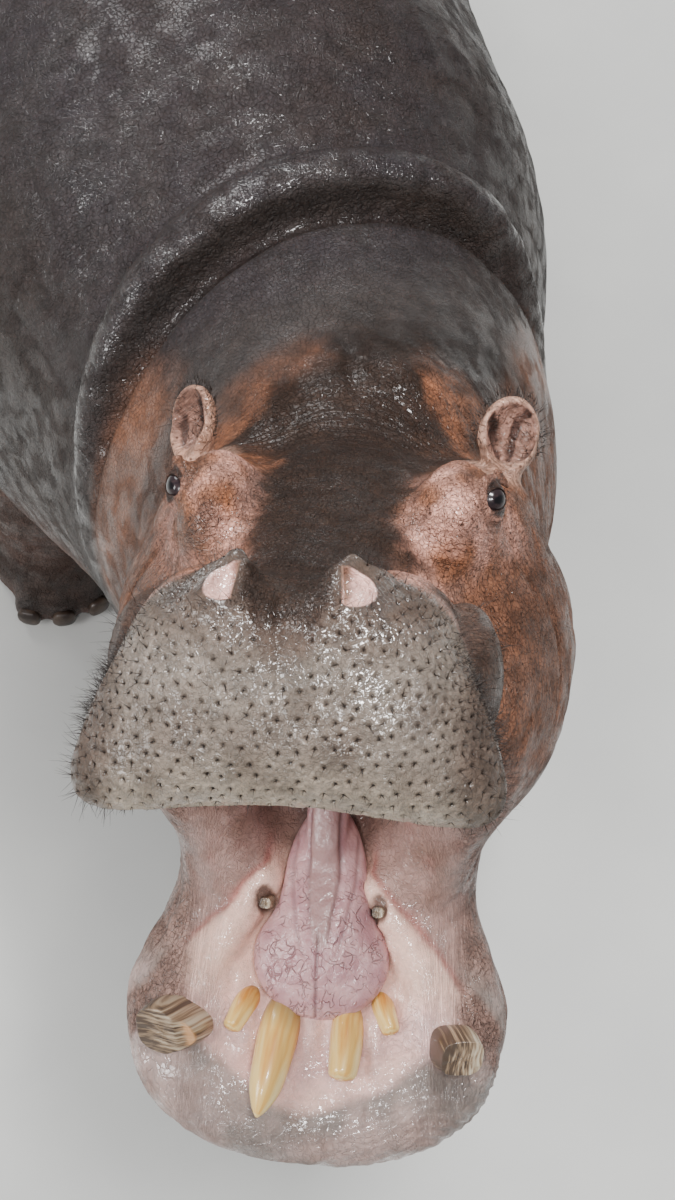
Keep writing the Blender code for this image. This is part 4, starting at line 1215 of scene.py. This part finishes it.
def grey_of(tree, value, from_low, from_high, low, high):
    """A grey whose brightness follows a value."""
    bright = fitted(tree, value, from_low, from_high, low, high)
    return node(tree, "ShaderNodeCombineColor", {0: bright, 1: bright, 2: bright}).outputs["Color"]


def bumped(tree, shader, layers, wet_layers=None):
    """Bumps laid one on another: each is a height, its depth in metres and how strong it is. The coat has
    its own ones if they are given."""
    for socket, heights in (("Normal", layers), ("Coat Normal", wet_layers or layers)):
        below = {}
        for height, depth, strength in heights:
            inputs = {"Height": height, "Distance": depth, "Strength": strength, **below}
            below = {"Normal": node(tree, "ShaderNodeBump", inputs).outputs["Normal"]}
        connect(tree, shader, {socket: below["Normal"]})


def solid(colour):
    return (*(float(c) for c in colour), 1.0)


def creases(tree, vector, scale, detail, width):
    """Thin winding lines of height 1 on a ground of 0."""
    off = maths(tree, clouds(tree, vector, scale, detail, 0.3), 0.5, "SUBTRACT")
    return fitted(tree, maths(tree, off, 0.0, "ABSOLUTE"), 0.0, width, 1.0, 0.0)


def crossed(tree, vector, first, second, detail):
    """Creases of two sizes, each given as its scale and the width of its lines."""
    a, b = (creases(tree, vector, scale, detail, width) for scale, width in (first, second))
    return maths(tree, a, b, "MAXIMUM")


def sunk(tree, lines):
    """Height of a ground from which lines are cut."""
    return fitted(tree, lines, 0.0, 1.0, 1.0, 0.0)


def skin_material():
    material, tree, shader = shaded("skin")
    at = place(tree)
    wet, crackle, mottled = (kept(tree, name) for name in ("wet", "crackle", "mottled"))
    wrinkles = crossed(tree, kept(tree, "flow", "Vector"), (46.0, 0.045), (120.0, 0.055), 2.0)
    wrinkles = product(tree, wrinkles, kept(tree, "creased"))
    edges = fitted(tree, cracks(tree, at, 150.0), 0.0, 0.10, 0.0, 1.0)
    spots = fitted(tree, cracks(tree, at, 120.0, "F1"), 0.14, 0.30, 1.0, 0.0)
    patches = fitted(tree, clouds(tree, at, 26.0, 2.0), 0.42, 0.60, 0.0, 0.85)
    tone = kept(tree, "tint", "Color")
    for cloud, shades in (
        (clouds(tree, at, 34.0, 4.0, 0.6), (0.30, 0.72, 0.68, 1.26)),
        (clouds(tree, at, 190.0, 3.0), (0.30, 0.70, 0.78, 1.20)),
    ):
        shaded_tone = mixed(tree, 1.0, tone, grey_of(tree, cloud, *shades), "MULTIPLY")
        tone = mixed(tree, mottled, tone, shaded_tone)
    for share, colour in (
        (product(tree, spots, patches, kept(tree, "freckle")), FRECKLE),
        (product(tree, fitted(tree, edges, 0.0, 1.0, 0.30, 0.0), crackle), HIDE_DARK),
        # painted shade in the wrinkles
        (product(tree, wrinkles, 0.42), HIDE_DARK),
    ):
        tone = mixed(tree, share, tone, solid(colour))
    dry = fitted(tree, wet, 0.0, 1.0, 0.66, 0.42)
    streaks = fitted(tree, clouds(tree, at, 22.0, 4.0, 1.0), 0.35, 0.68, -0.07, 0.12)
    sheen = fitted(tree, clouds(tree, at, 24.0, 5.0, 0.5), 0.43, 0.57, 0.06, 1.0)
    connect(tree, shader, {
        "Base Color": tone, "Roughness": maths(tree, dry, streaks), "Specular IOR Level": 0.20,
        "Coat Weight": product(tree, sheen, wet), "Coat Roughness": 0.085, "Coat IOR": 1.55,
        "Subsurface Weight": 0.06, "Subsurface Radius": (0.6, 0.25, 0.15), "Subsurface Scale": 0.012,
    })
    bumped(tree, shader, (
        (clouds(tree, at, 85.0, 4.0, 0.4), 0.0060, kept(tree, "pebble")),
        (sunk(tree, wrinkles), 0.0020, 0.80),
        (edges, 0.0012, crackle),
        (fitted(tree, cracks(tree, at, 380.0), 0.0, 0.16, 0.0, 1.0), 0.0005, 0.50),
    ), (
        (clouds(tree, at, 75.0, 3.0, 0.4), 0.0009, 0.60),
        (sunk(tree, wrinkles), 0.0007, 0.60),
        (edges, 0.0006, 0.60),
    ))
    return material


def tongue_material():
    material, tree, shader = shaded("tongue")
    at = place(tree)
    wavy = node(tree, "ShaderNodeMapping", {"Vector": at, "Scale": (1.0, 1.0, 0.6)}).outputs["Vector"]
    furrows = crossed(tree, wavy, (42.0, 0.026), (78.0, 0.028), 1.0)
    broken = fitted(tree, clouds(tree, at, 48.0, 2.0), 0.44, 0.58, 0.10, 1.0)
    furrows = product(tree, furrows, kept(tree, "furrowed"), broken)
    # painted shade: the grooves and furrows are darkened
    dark = maths(tree, kept(tree, "deep"), product(tree, furrows, 0.45), "MAXIMUM")
    tone = solid(TONGUE)
    for share, colour in (
        (fitted(tree, clouds(tree, at, 40.0, 4.0), 0.35, 0.65, 0.0, 1.0), TONGUE_PALE),
        (fitted(tree, kept(tree, "strap"), 0.0, 1.0, 0.0, 0.8), STRAP),
        # painted shade in the grooves and furrows
        (fitted(tree, dark, 0.0, 1.0, 0.0, 0.80), MOUTH_SHADE),
    ):
        tone = mixed(tree, share, tone, solid(colour))
    connect(tree, shader, {
        "Base Color": tone, "Roughness": fitted(tree, clouds(tree, at, 90.0, 3.0), 0.3, 0.7, 0.34, 0.52),
        "Coat Weight": 0.34, "Coat Roughness": 0.12,
        "Subsurface Weight": 0.10, "Subsurface Radius": (0.9, 0.3, 0.2), "Subsurface Scale": 0.010,
    })
    bumped(tree, shader, (
        (clouds(tree, at, 70.0, 2.0), 0.0050, 0.6),
        (sunk(tree, furrows), 0.0022, 0.8),
        (cracks(tree, at, 420.0, "F1"), 0.0004, 0.5),
    ))
    return material


def tooth_material(name, pale, middling, stain, root, roughness):
    """Material of a tooth: three tones in streaks that run with its grain, and darker in the gum."""
    material, tree, shader = shaded(name)
    cloud = clouds(tree, kept(tree, "grain", "Color"), 2.4, 4.0, 0.2)
    streaks = maths(tree, cloud, kept(tree, "stain"))
    tone = solid(pale)
    for share, colour in (
        (fitted(tree, streaks, 0.32, 0.52, 0.0, 1.0), middling),
        (fitted(tree, streaks, 0.50, 0.68, 0.0, 0.95), stain),
        (kept(tree, "nub"), NUB),
        (fitted(tree, kept(tree, "along"), 0.38, 0.16, 0.0, 0.9), root),
    ):
        tone = mixed(tree, share, tone, solid(colour))
    connect(tree, shader, {
        "Base Color": tone, "Roughness": fitted(tree, streaks, 0.3, 0.7, roughness, roughness + 0.16),
        "Coat Weight": 0.45, "Coat Roughness": 0.08,
    })
    bumped(tree, shader, ((streaks, 0.0010, 0.6),))
    return material


def eye_material():
    material, tree, shader = shaded("eye")
    veins = grey_of(tree, clouds(tree, place(tree), 500.0, 4.0), 0.40, 0.62, 0.80, 1.15)
    connect(tree, shader, {
        "Base Color": mixed(tree, 1.0, kept(tree, "tint", "Color"), veins, "MULTIPLY"),
        "Roughness": 0.30, "Specular IOR Level": 0.2, "Coat Weight": 0.55, "Coat Roughness": 0.03,
    })
    return material


def plain_material(name, colour, dark, scale, roughness, depth=0.0006):
    """Material of nails, bristles and the floor: two tones in clouds, and a fine grain."""
    material, tree, shader = shaded(name)
    at = place(tree)
    share = fitted(tree, clouds(tree, at, scale, 4.0), 0.35, 0.65, 0.0, 1.0)
    tone = mixed(tree, share, solid(colour), solid(dark))
    connect(tree, shader, {"Base Color": tone, "Roughness": roughness})
    bumped(tree, shader, ((clouds(tree, at, scale * 4.0, 3.0), depth, 0.6),))
    return material


# ---- the pieces ----


def finer(points, rounds, tree):
    """Which points of the skin want a finer mesh in this round: round the eyes, nostrils, pits and ears."""
    h = to_head(points)
    m = mirrored(h)
    wanted = length(m - np.array(EYE_AT)) < (0.065, 0.050)[rounds]
    wanted |= length(m - np.array(NOSTRIL_AT)) < (0.060, 0.040)[rounds]
    bristled = pad_share(h) * (points[:, 1] < -1.1)
    if rounds == 0:
        wanted |= bristled > 0.02
        wanted |= np.min([length(ear_axes(h, side)) for side in (1, -1)], axis=0) < 0.09
        return wanted | (np.abs(h[:, 1] - 0.25) < 0.14) & (m[:, 0] < 0.17) & (h[:, 2] > -0.08)
    for i in np.nonzero(bristled > 0.1)[0]:
        wanted[i] |= tree.find(points[i])[2] < 0.0055
    return wanted


def skin_mesh(roots):
    lines = [graded(*ends, FINE, COARSE) for ends in zip(LOW, HIGH, FINE_LOW, FINE_HIGH)]
    values = np.maximum(sampled(skin, lines, 6.0 * COARSE, STRIDE), SKIN_DEPTH - lines[2][None, None, :])
    mesh = mesh_of("skin", *surface_of(values, lines))
    tree = tree_of(roots)
    for rounds in range(2):
        refine(mesh, finer(points_of(mesh), rounds, tree))
    edges = edges_of(mesh)
    points = grounded(evened(points_of(mesh), edges))[0]
    points, outward = grounded(evened(points, edges, 1))
    h = to_head(points)
    m, j = mirrored(h), to_jaw(points)
    part = parts_of(points, h, m, j)
    reach = np.full(len(points), 1.0)
    for i in np.nonzero(part["pad"] > 0.02)[0]:
        reach[i] = tree.find(points[i])[2]
    # how much a point lies in a pit, for the painted shade there
    part["pit"] = bump_at(reach, 0.0, 0.0021)
    lift = body_relief(points, part) + neck_relief(h, m, part) + face_relief(h, m, part)
    lift += muzzle_relief(h, part, reach) + mouth_relief(h, m, j, part)
    looks = colours_of(points, outward, h, m, j, part)
    lift[points[:, 2] < GROUND_BAND] = 0.0
    points = points + outward * lift[:, None]
    points[:, 2] = np.maximum(points[:, 2], SKIN_DEPTH)
    move(mesh, points)
    for name, values in looks.items():
        keep(mesh, name, values)
    return mesh


def tongue_piece():
    low = from_jaw((0, -0.27, 0)) - 0.26
    lines = [np.arange(start, start + 0.52, TONGUE_FINE) for start in low]
    mesh = mesh_of("tongue", *surface_of(sampled(tongue, lines, 0.03, STRIDE), lines))
    points, outward = settled(tongue, evened(points_of(mesh), edges_of(mesh)), 2)
    j = to_tongue(points)
    y = j[:, 1]
    top = step(0.1, 0.5, outward @ JAW[:, 2])
    half = 0.0195 * np.sqrt(np.clip((y + 0.385) / 0.10, 0.0, 1.0))
    across = j[:, 0] + 0.002 * noise(j, 0.03, 123)
    strap = step(half + 0.002, half - 0.002, np.abs(across)) * step(-0.380, -0.360, y)
    beside = bump_at(np.abs(across), half, 0.0028) * step(-0.375, -0.330, y)
    groove = np.max([
        beside * (0.5 + 0.5 * step(-0.30, -0.24, y)),
        0.9 * bump_at(across, -0.003, 0.0020) * step(-0.340, -0.365, y),
        0.5 * bump_at(np.abs(across), half * 1.3 + 0.014, 0.0026) * step(-0.40, -0.36, y),
    ], axis=0)
    lift = 0.0010 * strap - 0.0036 * groove + 0.0006 * (1.0 - strap) * layered(j, 0.012, 121, 2)
    # how much painted shade lies in the grooves
    keep(mesh, "deep", np.clip(top * 0.8 * groove, 0.0, 1.0))
    keep(mesh, "strap", top * strap)
    keep(mesh, "furrowed", top * (1.0 - strap) * step(-0.25, -0.31, y))
    move(mesh, points + outward * (top * lift)[:, None])
    return piece("tongue_skin", mesh, tongue_material(), "tongue", "tongue")


def tube_faces(rings, sides):
    """Triangles of a closed tube of rings, with a last point at each end."""
    faces = []
    for side in range(sides):
        after = (side + 1) % sides
        faces.append((rings * sides, after, side))
        faces.append((rings * sides + 1, (rings - 1) * sides + side, (rings - 1) * sides + after))
        for low in range(0, (rings - 1) * sides, sides):
            faces.append((low + side, low + after, low + sides + after))
            faces.append((low + side, low + sides + after, low + sides + side))
    return np.array(faces)


def smooth_path(points, count):
    """Points on a smooth curve through the given ones."""
    points = np.asarray(points, float)
    at = np.concatenate([[0.0], np.cumsum(np.linalg.norm(np.diff(points[:, :3], axis=0), axis=1))])
    slope = np.gradient(points, at, axis=0)
    t = np.linspace(0.0, at[-1], count)
    i = np.clip(np.searchsorted(at, t, "right") - 1, 0, len(at) - 2)
    span = (at[i + 1] - at[i])[:, None]
    s = ((t - at[i])[:, None]) / span
    return ((2 * s**3 - 3 * s**2 + 1) * points[i] + (s**3 - 2 * s**2 + s) * span * slope[i]
            + (-2 * s**3 + 3 * s**2) * points[i + 1] + (s**3 - s**2) * span * slope[i + 1])


def tooth_axes(points, radii):
    """Middles, radii and ways along, across and up of the rings along a tooth and on its end."""
    path = smooth_path(np.column_stack([np.asarray(points), np.asarray(radii)]), TOOTH_RINGS)
    along = unit(np.gradient(path[:, :3], axis=0))
    path, along = (np.concatenate([rows, np.repeat(rows[-1:], TOOTH_CAP, axis=0)]) for rows in (path, along))
    across = unit(np.array((1.0, 0, 0)) - along[:, :1] * along)
    return path[:, :3], path[:, 3], along, across, np.cross(along, across)


def whole_tooth(name, turned, share, inward, size, flat):
    """Cross-sections, stain and grain of a tooth with a blunt end."""
    size = size * (1.0 + 0.045 * np.cos(3 * turned + 1.2))
    stain = 0.04 + 0.10 * np.abs(np.cos(turned)) ** 3 - 0.12 + 0.10 * step(0.93, 1.0, share)
    stain = stain + (0.08 if "outer" in name else 0.02) * step(0.72, 0.50, share)
    grain = np.stack([inward * np.cos(turned), inward * np.sin(turned), share * 0.8], axis=-1) * 0.6
    none = np.zeros(share.shape)
    return size * flat * np.cos(turned), size * np.sin(turned), none, stain, none, grain


def worn_tooth(turned, share, chips, size, flat, middle, worn):
    """Cross-sections of a tooth worn flat, how far its end's face falls, its stain, nub and grain."""
    lean_x, lean_y, nub_side, bands = worn
    size = size * 0.93 / (np.abs(np.cos(turned)) ** 3.2 + np.abs(np.sin(turned)) ** 3.2) ** (1 / 3.2)
    x, y = size * flat * np.cos(turned), size * np.sin(turned)
    fall = lean_x * x + lean_y * y + 0.0016 * chips
    stain = 0.04 + 0.03 - (0.08 if nub_side else 0.17) * x / middle
    nub = np.zeros(share.shape)
    if nub_side:
        out = np.clip(x * nub_side / middle, 0.0, 1.2)
        y = y * (1.0 - 0.50 * out)
        nub = step(0.60, 0.80, out) * step(0.95, 1.0, share)
        fall = fall + 0.010 * step(0.50, 0.66, out)
    way, aside = x * bands[0] + y * bands[1], x * bands[1] - y * bands[0]
    wave = 0.14 * np.sin(3.4 * aside / middle + 2.0 * way / middle)
    grain = np.stack([way / middle * 4.2 + wave, aside / middle * 0.55, share * 0.3], axis=-1)
    return x, y, step(0.55, 1.0, share) * fall, stain, nub, grain


def tooth_piece(name, points, radii, turn, origin, material, slot, flat=1.0, worn=None):
    """Tooth through the points. Its end is blunt, or worn flat where worn gives the face's lean across and
    up, the side on which a lower nub stands (1, -1 or 0) and the direction that its bands run across."""
    centre, radius, along, across, up = tooth_axes(points, radii)
    share = np.concatenate([np.linspace(0.0, 1.0, TOOTH_RINGS), np.ones(TOOTH_CAP)])
    inward = np.concatenate([np.ones(TOOTH_RINGS), np.linspace(0.97, 0.06, TOOTH_CAP)])
    if worn is None:
        inward *= np.sqrt(np.clip(1.0 - np.clip((share - 0.93) / 0.075, 0.0, 1.0) ** 2, 0.10, 1.0))
    headings = np.arange(TOOTH_SIDES) * 2 * math.pi / TOOTH_SIDES
    ring, turned = np.meshgrid(np.arange(len(share)), headings, indexing="ij")
    share = share[ring]
    rough = np.column_stack([np.cos(turned.ravel()), np.sin(turned.ravel()), share.ravel() * 2.0])
    seed = len(name) * 7 + int(abs(centre[0, 0]) * 1000)
    size = (radius * inward)[:, None] * (1.0 + 0.03 * layered(rough, 0.9, seed).reshape(ring.shape))
    if worn is None:
        x, y, fall, stain, nub, grain = whole_tooth(name, turned, share, inward[ring], size, flat)
    else:
        chips = layered(rough * 6.0, 0.9, seed + 9).reshape(ring.shape)
        x, y, fall, stain, nub, grain = worn_tooth(turned, share, chips, size, flat, radius[-1], worn)
    points = centre[ring] + x[..., None] * across[ring] + y[..., None] * up[ring]
    points = points - fall[..., None] * along[ring]
    points = np.concatenate([points.reshape(-1, 3), centre[[0]], points[-1].mean(axis=0)[None]])
    mesh = mesh_of(name, points @ turn.T + origin, tube_faces(len(ring), TOOTH_SIDES))
    for key, values in (("stain", stain), ("nub", nub * 0.85), ("along", share)):
        end = 0.0 if key == "nub" else values[-1, 0]
        keep(mesh, key, np.append(values.ravel(), [values[0, 0], end]))
    keep(mesh, "grain", np.concatenate([grain.reshape(-1, 3), grain[0, :1], grain[-1].mean(axis=0)[None]]))
    return piece(name + "_enamel", outward_mesh(mesh), material, slot, name)


def outward_mesh(mesh):
    bm = bmesh.new()
    bm.from_mesh(mesh)
    bmesh.ops.recalc_face_normals(bm, faces=bm.faces)
    if bm.calc_volume(signed=True) < 0:
        bmesh.ops.reverse_faces(bm, faces=bm.faces)
    bm.to_mesh(mesh)
    bm.free()
    mesh.shade_smooth()
    return mesh


def teeth():
    ivory = tooth_material("ivory", IVORY_PALE, IVORY, IVORY_STAIN, STUMP, 0.24)
    brown = tooth_material("worn_ivory", STUMP_CREAM, STUMP_TAN, STUMP_DARK, STUMP, 0.40)
    jaw = (JAW, from_head(JAW_JOINT), ivory, "tooth")
    worn_jaw = (*jaw[:2], brown, "worn_tooth")
    head = (HEAD, EYES, ivory, "tooth")
    for name, points, radii in INCISORS:
        tooth_piece("lower_incisor_" + name, points, radii, *jaw, 1.05)
    for side, word in ((1, "left"), (-1, "right")):
        x, y = CANINE_AT[side]
        radius = CANINE_RADIUS[side]
        points = (((x - 0.026) * side, y + 0.024, -0.070), ((x - 0.012) * side, y + 0.010, -0.030),
                  (x * side, y, 0.002), ((x + 0.008) * side, y - 0.008, 0.020))
        radii = (0.028, radius, radius, radius - 0.003)
        worn = (0.10, -0.30, 1, (0, 1)) if side < 0 else (-0.10, -0.30, 0, (1, 0))
        tooth_piece("lower_canine_" + word, points, radii, *worn_jaw, CANINE_FLAT[side], worn)
        x = PREMOLAR_X[side]
        points = ((x, -0.315, -0.045), (x, -0.318, -0.010), (x, -0.321, 0.010))
        radii, worn = (0.008, 0.009, 0.007), (0, 0, 0, (1, 0))
        tooth_piece("lower_premolar_" + word, points, radii, *worn_jaw, 1.05, worn)
        points = np.array(((0.122, -0.415, -0.150), (0.128, -0.422, -0.200), (0.133, -0.434, -0.232)))
        tooth_piece("upper_canine_" + word, points * (side, 1, 1), (0.020, 0.020, 0.014), *head)
        for place_word, x in (("inner", 0.034), ("outer", 0.078)):
            points = ((x * side, -0.432, -0.150), (x * side, -0.440, -0.195), (x * side, -0.450, -0.218))
            tooth_piece("upper_incisor_" + word + "_" + place_word, points, (0.012, 0.012, 0.009), *head)


def round_points(rings, sides):
    """Angles of points all round a ball, ring by ring from one pole to the other, then both poles."""
    polar = np.linspace(0.0, math.pi, rings + 2)[1:-1]
    t, a = np.meshgrid(polar, np.arange(sides) * 2 * math.pi / sides, indexing="ij")
    return np.append(t.ravel(), [0.0, math.pi]), np.append(a.ravel(), [0.0, 0.0])


def eyes():
    material = eye_material()
    rings, sides = 60, 56
    t, a = round_points(rings, sides)
    reach = EYE_RADIUS * (1.0 + 0.055 * step(0.66, 0.42, t) - 0.001)
    way = np.column_stack([np.cos(t), np.sin(t) * np.cos(a), np.sin(t) * np.sin(a)])
    streak = noise(np.column_stack([np.cos(a), np.sin(a), t]), 0.22, 131)
    pupil = np.hypot(way[:, 1] / 0.42, way[:, 2] / 0.20)
    tint = over(
        EYE_WHITE,
        (EYE_RIM, step(0.95, 0.70, t)),
        (over(IRIS, (IRIS_DARK, 0.5 + 0.6 * streak)), step(0.66, 0.58, t)),
        (PUPIL, step(1.10, 0.90, pupil) * (t < 1.0)),
    )
    for side, word in ((1, "left"), (-1, "right")):
        m = (way * reach[:, None]) @ turning(*EYE_TURN).T + np.array(EYE_AT)
        mesh = mesh_of("eye", from_head(m * np.array((side, 1, 1))), tube_faces(rings, sides))
        keep(mesh, "tint", tint)
        piece("eyeball_" + word, outward_mesh(mesh), material, "eye", "eye_" + word)


def nails():
    material = plain_material("nail", NAIL, HIDE_DARK, 60.0, 0.38)
    rings, sides = 14, 22
    t, a = round_points(rings, sides)
    ball = np.column_stack([np.sin(t) * np.cos(a), np.sin(t) * np.sin(a), np.cos(t)])
    ball = np.sign(ball) * np.abs(ball) ** 0.8
    ball *= (1.0 + 0.020 * np.sin(ball[:, 2] * 16.0))[:, None]
    ball = ball * np.array(NAIL_RADII) * 0.96 + (0, 0, 0.002)
    for words, feet, reach in (("foreleg", FORE_FEET, FORE_REACH), ("hindleg", HIND_FEET, HIND_REACH)):
        out = np.array((0, -reach - TOE_TIP_RADIUS + 0.005, 0))
        for x, y in feet:
            leg = words + ("_left" if x > 0 else "_right")
            for number, turn in enumerate(TOES, 1):
                heading = turning(0, 0, turn)
                tip = np.array((x, y + 0.015, TOE_HEIGHT)) + heading @ out
                mesh = outward_mesh(mesh_of("nail", ball @ heading.T + tip, tube_faces(rings, sides)))
                name = f"nail_{leg}_{number}"
                piece(name + "_horn", mesh, material, "nail", name)


def hair_piece(name, roots, along, lengths, width, droop, material, centre, turn):
    """Stiff hairs as one mesh of thin three-sided cones that bend as they go."""
    rings, sides = 4, 3
    count = len(roots)
    share = np.linspace(0.0, 1.0, rings)
    reach = share[None, :, None] * lengths[:, None, None]
    middle = roots[:, None, :] + along[:, None, :] * (reach - 0.002)
    middle = middle + droop[:, None, :] * (share**2)[None, :, None]
    first = unit(np.cross(along, (0.31, 0.52, 0.79)))
    second = np.cross(along, first)
    thick = width * (1.0 - 0.88 * share)
    corners = []
    for corner in range(sides):
        a = corner * 2 * math.pi / sides
        out = first * math.cos(a) + second * math.sin(a)
        corners.append(middle + out[:, None, :] * thick[None, :, None])
    points = np.stack(corners, axis=2).reshape(count, rings * sides, 3)
    points = np.concatenate([points, middle[:, [0, -1], :]], axis=1)
    faces = tube_faces(rings, sides)[None] + (np.arange(count) * (rings * sides + 2))[:, None, None]
    mesh = mesh_of(name, points.reshape(-1, 3), faces.reshape(-1, 3))
    # each hair has a small patch of the map, in the direction in which its root lies from the centre
    x, y, z = ((roots - centre) @ turn).T
    at = np.column_stack([
        0.5 + np.arctan2(x, -y) / (2.1 * math.pi),
        0.5 + np.arctan2(z, np.hypot(x, y)) / (1.05 * math.pi),
    ])
    spread = np.column_stack([np.tile(np.arange(sides), rings) / sides, np.repeat(share, sides)])
    spread = np.concatenate([spread, [[0.5, 0.0], [0.5, 1.0]]]) * UV_PATCH
    uv = (at[:, None, :] + spread[None] - UV_PATCH / 2).reshape(-1, 2)
    corner_of = np.empty(len(mesh.loops), np.int32)
    mesh.loops.foreach_get("vertex_index", corner_of)
    layer = mesh.uv_layers.new(name="OFBake")
    layer.data.foreach_set("uv", uv[corner_of].astype(np.float32).ravel())
    return piece(name, mesh, material, "hide")


def bristles(roots):
    """Bristles of the muzzle, the ears' fringe and the tail's tuft."""
    material = plain_material("bristle", BRISTLE, HIDE_DARK, 300.0, 0.45, 0.0002)
    rng = np.random.default_rng(5)
    centre = from_head((0, -0.30, -0.12))

    def muzzle(name, roots, each, short, long, lean, width):
        at, out = settled(skin, np.repeat(roots, each, axis=0))
        along = unit(out + rng.normal(0, lean, out.shape))
        lengths = rng.uniform(short, long, len(at))
        droop = rng.normal(0, 0.12, at.shape) * lengths[:, None]
        droop[:, 2] -= 0.10 * lengths
        hair_piece(name, at - out * 0.0025, along, lengths, width, droop, material, centre, HEAD)

    h = to_head(roots)
    sides = (np.abs(h[:, 0]) > 0.19) | (h[:, 2] > -0.01)
    upper = ~sides & (h[:, 2] > -0.10)
    muzzle("bristles_front", roots[~sides & ~upper], 4, 0.007, 0.014, 0.95, 0.00065)
    muzzle("bristles_upper", roots[upper], 2, 0.011, 0.022, 0.70, 0.00070)
    muzzle("bristles_sides", roots[sides], 2, 0.012, 0.030, 0.45, 0.00050)
    lobes = (0.178, -0.290, -0.125) + unit(rng.normal(0, 1, (150, 3))) * (0.060, 0.090, 0.092)
    lobes = lobes[(lobes[:, 0] > 0.190) & (lobes[:, 1] < -0.24)]
    rims = np.array(NOSTRIL_AT) + rng.uniform(-1, 1, (26, 3)) * (0.035, 0.010, 0.004) - (0, 0.028, 0.010)
    extra = from_head(np.concatenate([lobes, lobes * (-1, 1, 1), rims, rims * (-1, 1, 1)]))
    muzzle("bristles_lobes", settled(skin, extra, 3)[0], 1, 0.014, 0.034, 0.30, 0.00050)

    found = []
    for side in (1, -1):
        q = unit(rng.normal(0, 1, (420, 3)))
        q = q[q[:, 2] > -0.35] * (1, 0.30, 1)
        middle, turn = ear_frame(side)
        found.append(from_head(q * np.array((0.052, 0.030, 0.062)) @ turn.T + middle))
    at, out = settled(skin, np.concatenate(found))
    along = unit(out * 0.5 + np.array((0, 0, 0.35)) @ HEAD.T + rng.normal(0, 0.28, out.shape))
    lengths = rng.uniform(0.007, 0.020, len(at))
    droop = rng.normal(0, 0.003, at.shape)
    about = from_head((0, 0.16, 0.02))
    hair_piece("ear_fringe", at - out * 0.001, along, lengths, 0.00045, droop, material, about, HEAD)

    heading = rng.uniform(0, 2 * math.pi, 520)
    low = rng.uniform(0.69, 0.83, 520)
    at, out = settled(skin, np.column_stack([np.sin(heading) * 0.03, 1.803 + np.cos(heading) * 0.04, low]))
    along = unit(out * 0.30 + np.array((0, 0.05, -1.0)) + rng.normal(0, 0.12, out.shape))
    lengths = rng.uniform(0.03, 0.075, len(at))
    droop = rng.normal(0, 0.006, at.shape)
    about = np.array((0, 1.80, 0.75))
    hair_piece("tail_tuft", at - out * 0.002, along, lengths, 0.00085, droop, material, about, np.eye(3))


# ---- floor, lights and camera ----


def view_axes():
    """Right, up and forward of the camera."""
    a, e = math.radians(VIEW_AZIMUTH), math.radians(VIEW_ELEVATION)
    forward = np.array((-math.sin(a) * math.cos(e), math.cos(a) * math.cos(e), -math.sin(e)))
    right = np.array((math.cos(a), math.sin(a), 0.0))
    return right, np.cross(right, forward), forward


def camera():
    right, up, forward = view_axes()
    data = bpy.data.cameras.new("camera")
    data.sensor_width = 36.0
    data.lens = LENS
    obj = bpy.data.objects.new("camera", data)
    bpy.context.collection.objects.link(obj)
    at = EYES - VIEW_DISTANCE * forward + VIEW_ACROSS * right - VIEW_DOWN * up + ORIGIN_SHIFT
    rows = [[right[i], up[i], -forward[i], at[i]] for i in range(3)]
    obj.matrix_world = Matrix(rows + [[0, 0, 0, 1]])
    bpy.context.scene.camera = obj


def lamp(name, at, aim, power, size):
    data = bpy.data.lights.new(name, "AREA")
    data.energy = power
    data.size = size
    obj = bpy.data.objects.new(name, data)
    bpy.context.collection.objects.link(obj)
    obj.location = at
    obj.rotation_euler = (Vector(at) - Vector(aim)).to_track_quat("Z", "Y").to_euler()


def studio():
    for name, at, aim, power, size in LAMPS:
        lamp(name, at, aim, power, size)
    world = bpy.data.worlds.new("studio")
    world.use_nodes = True
    tree = world.node_tree
    connect(tree, tree.nodes["Background"], {"Color": (0.82, 0.86, 0.92, 1.0), "Strength": 0.30})
    bpy.context.scene.world = world
    mesh = mesh_of("floor", [(-9, -9, 0), (9, -9, 0), (9, 9, 0), (-9, 9, 0)], [(0, 1, 2, 3)])
    floor = bpy.data.objects.new("floor", mesh)
    bpy.context.collection.objects.link(floor)
    mesh.materials.append(plain_material("floor", FLOOR, FLOOR_SHADE, 3.0, 0.7))


def build():
    roots = pits()
    piece("skin", skin_mesh(roots), skin_material(), "hide", *LEATHER)
    tongue_piece()
    teeth()
    eyes()
    nails()
    bristles(roots)
    camera()
    studio()


build()
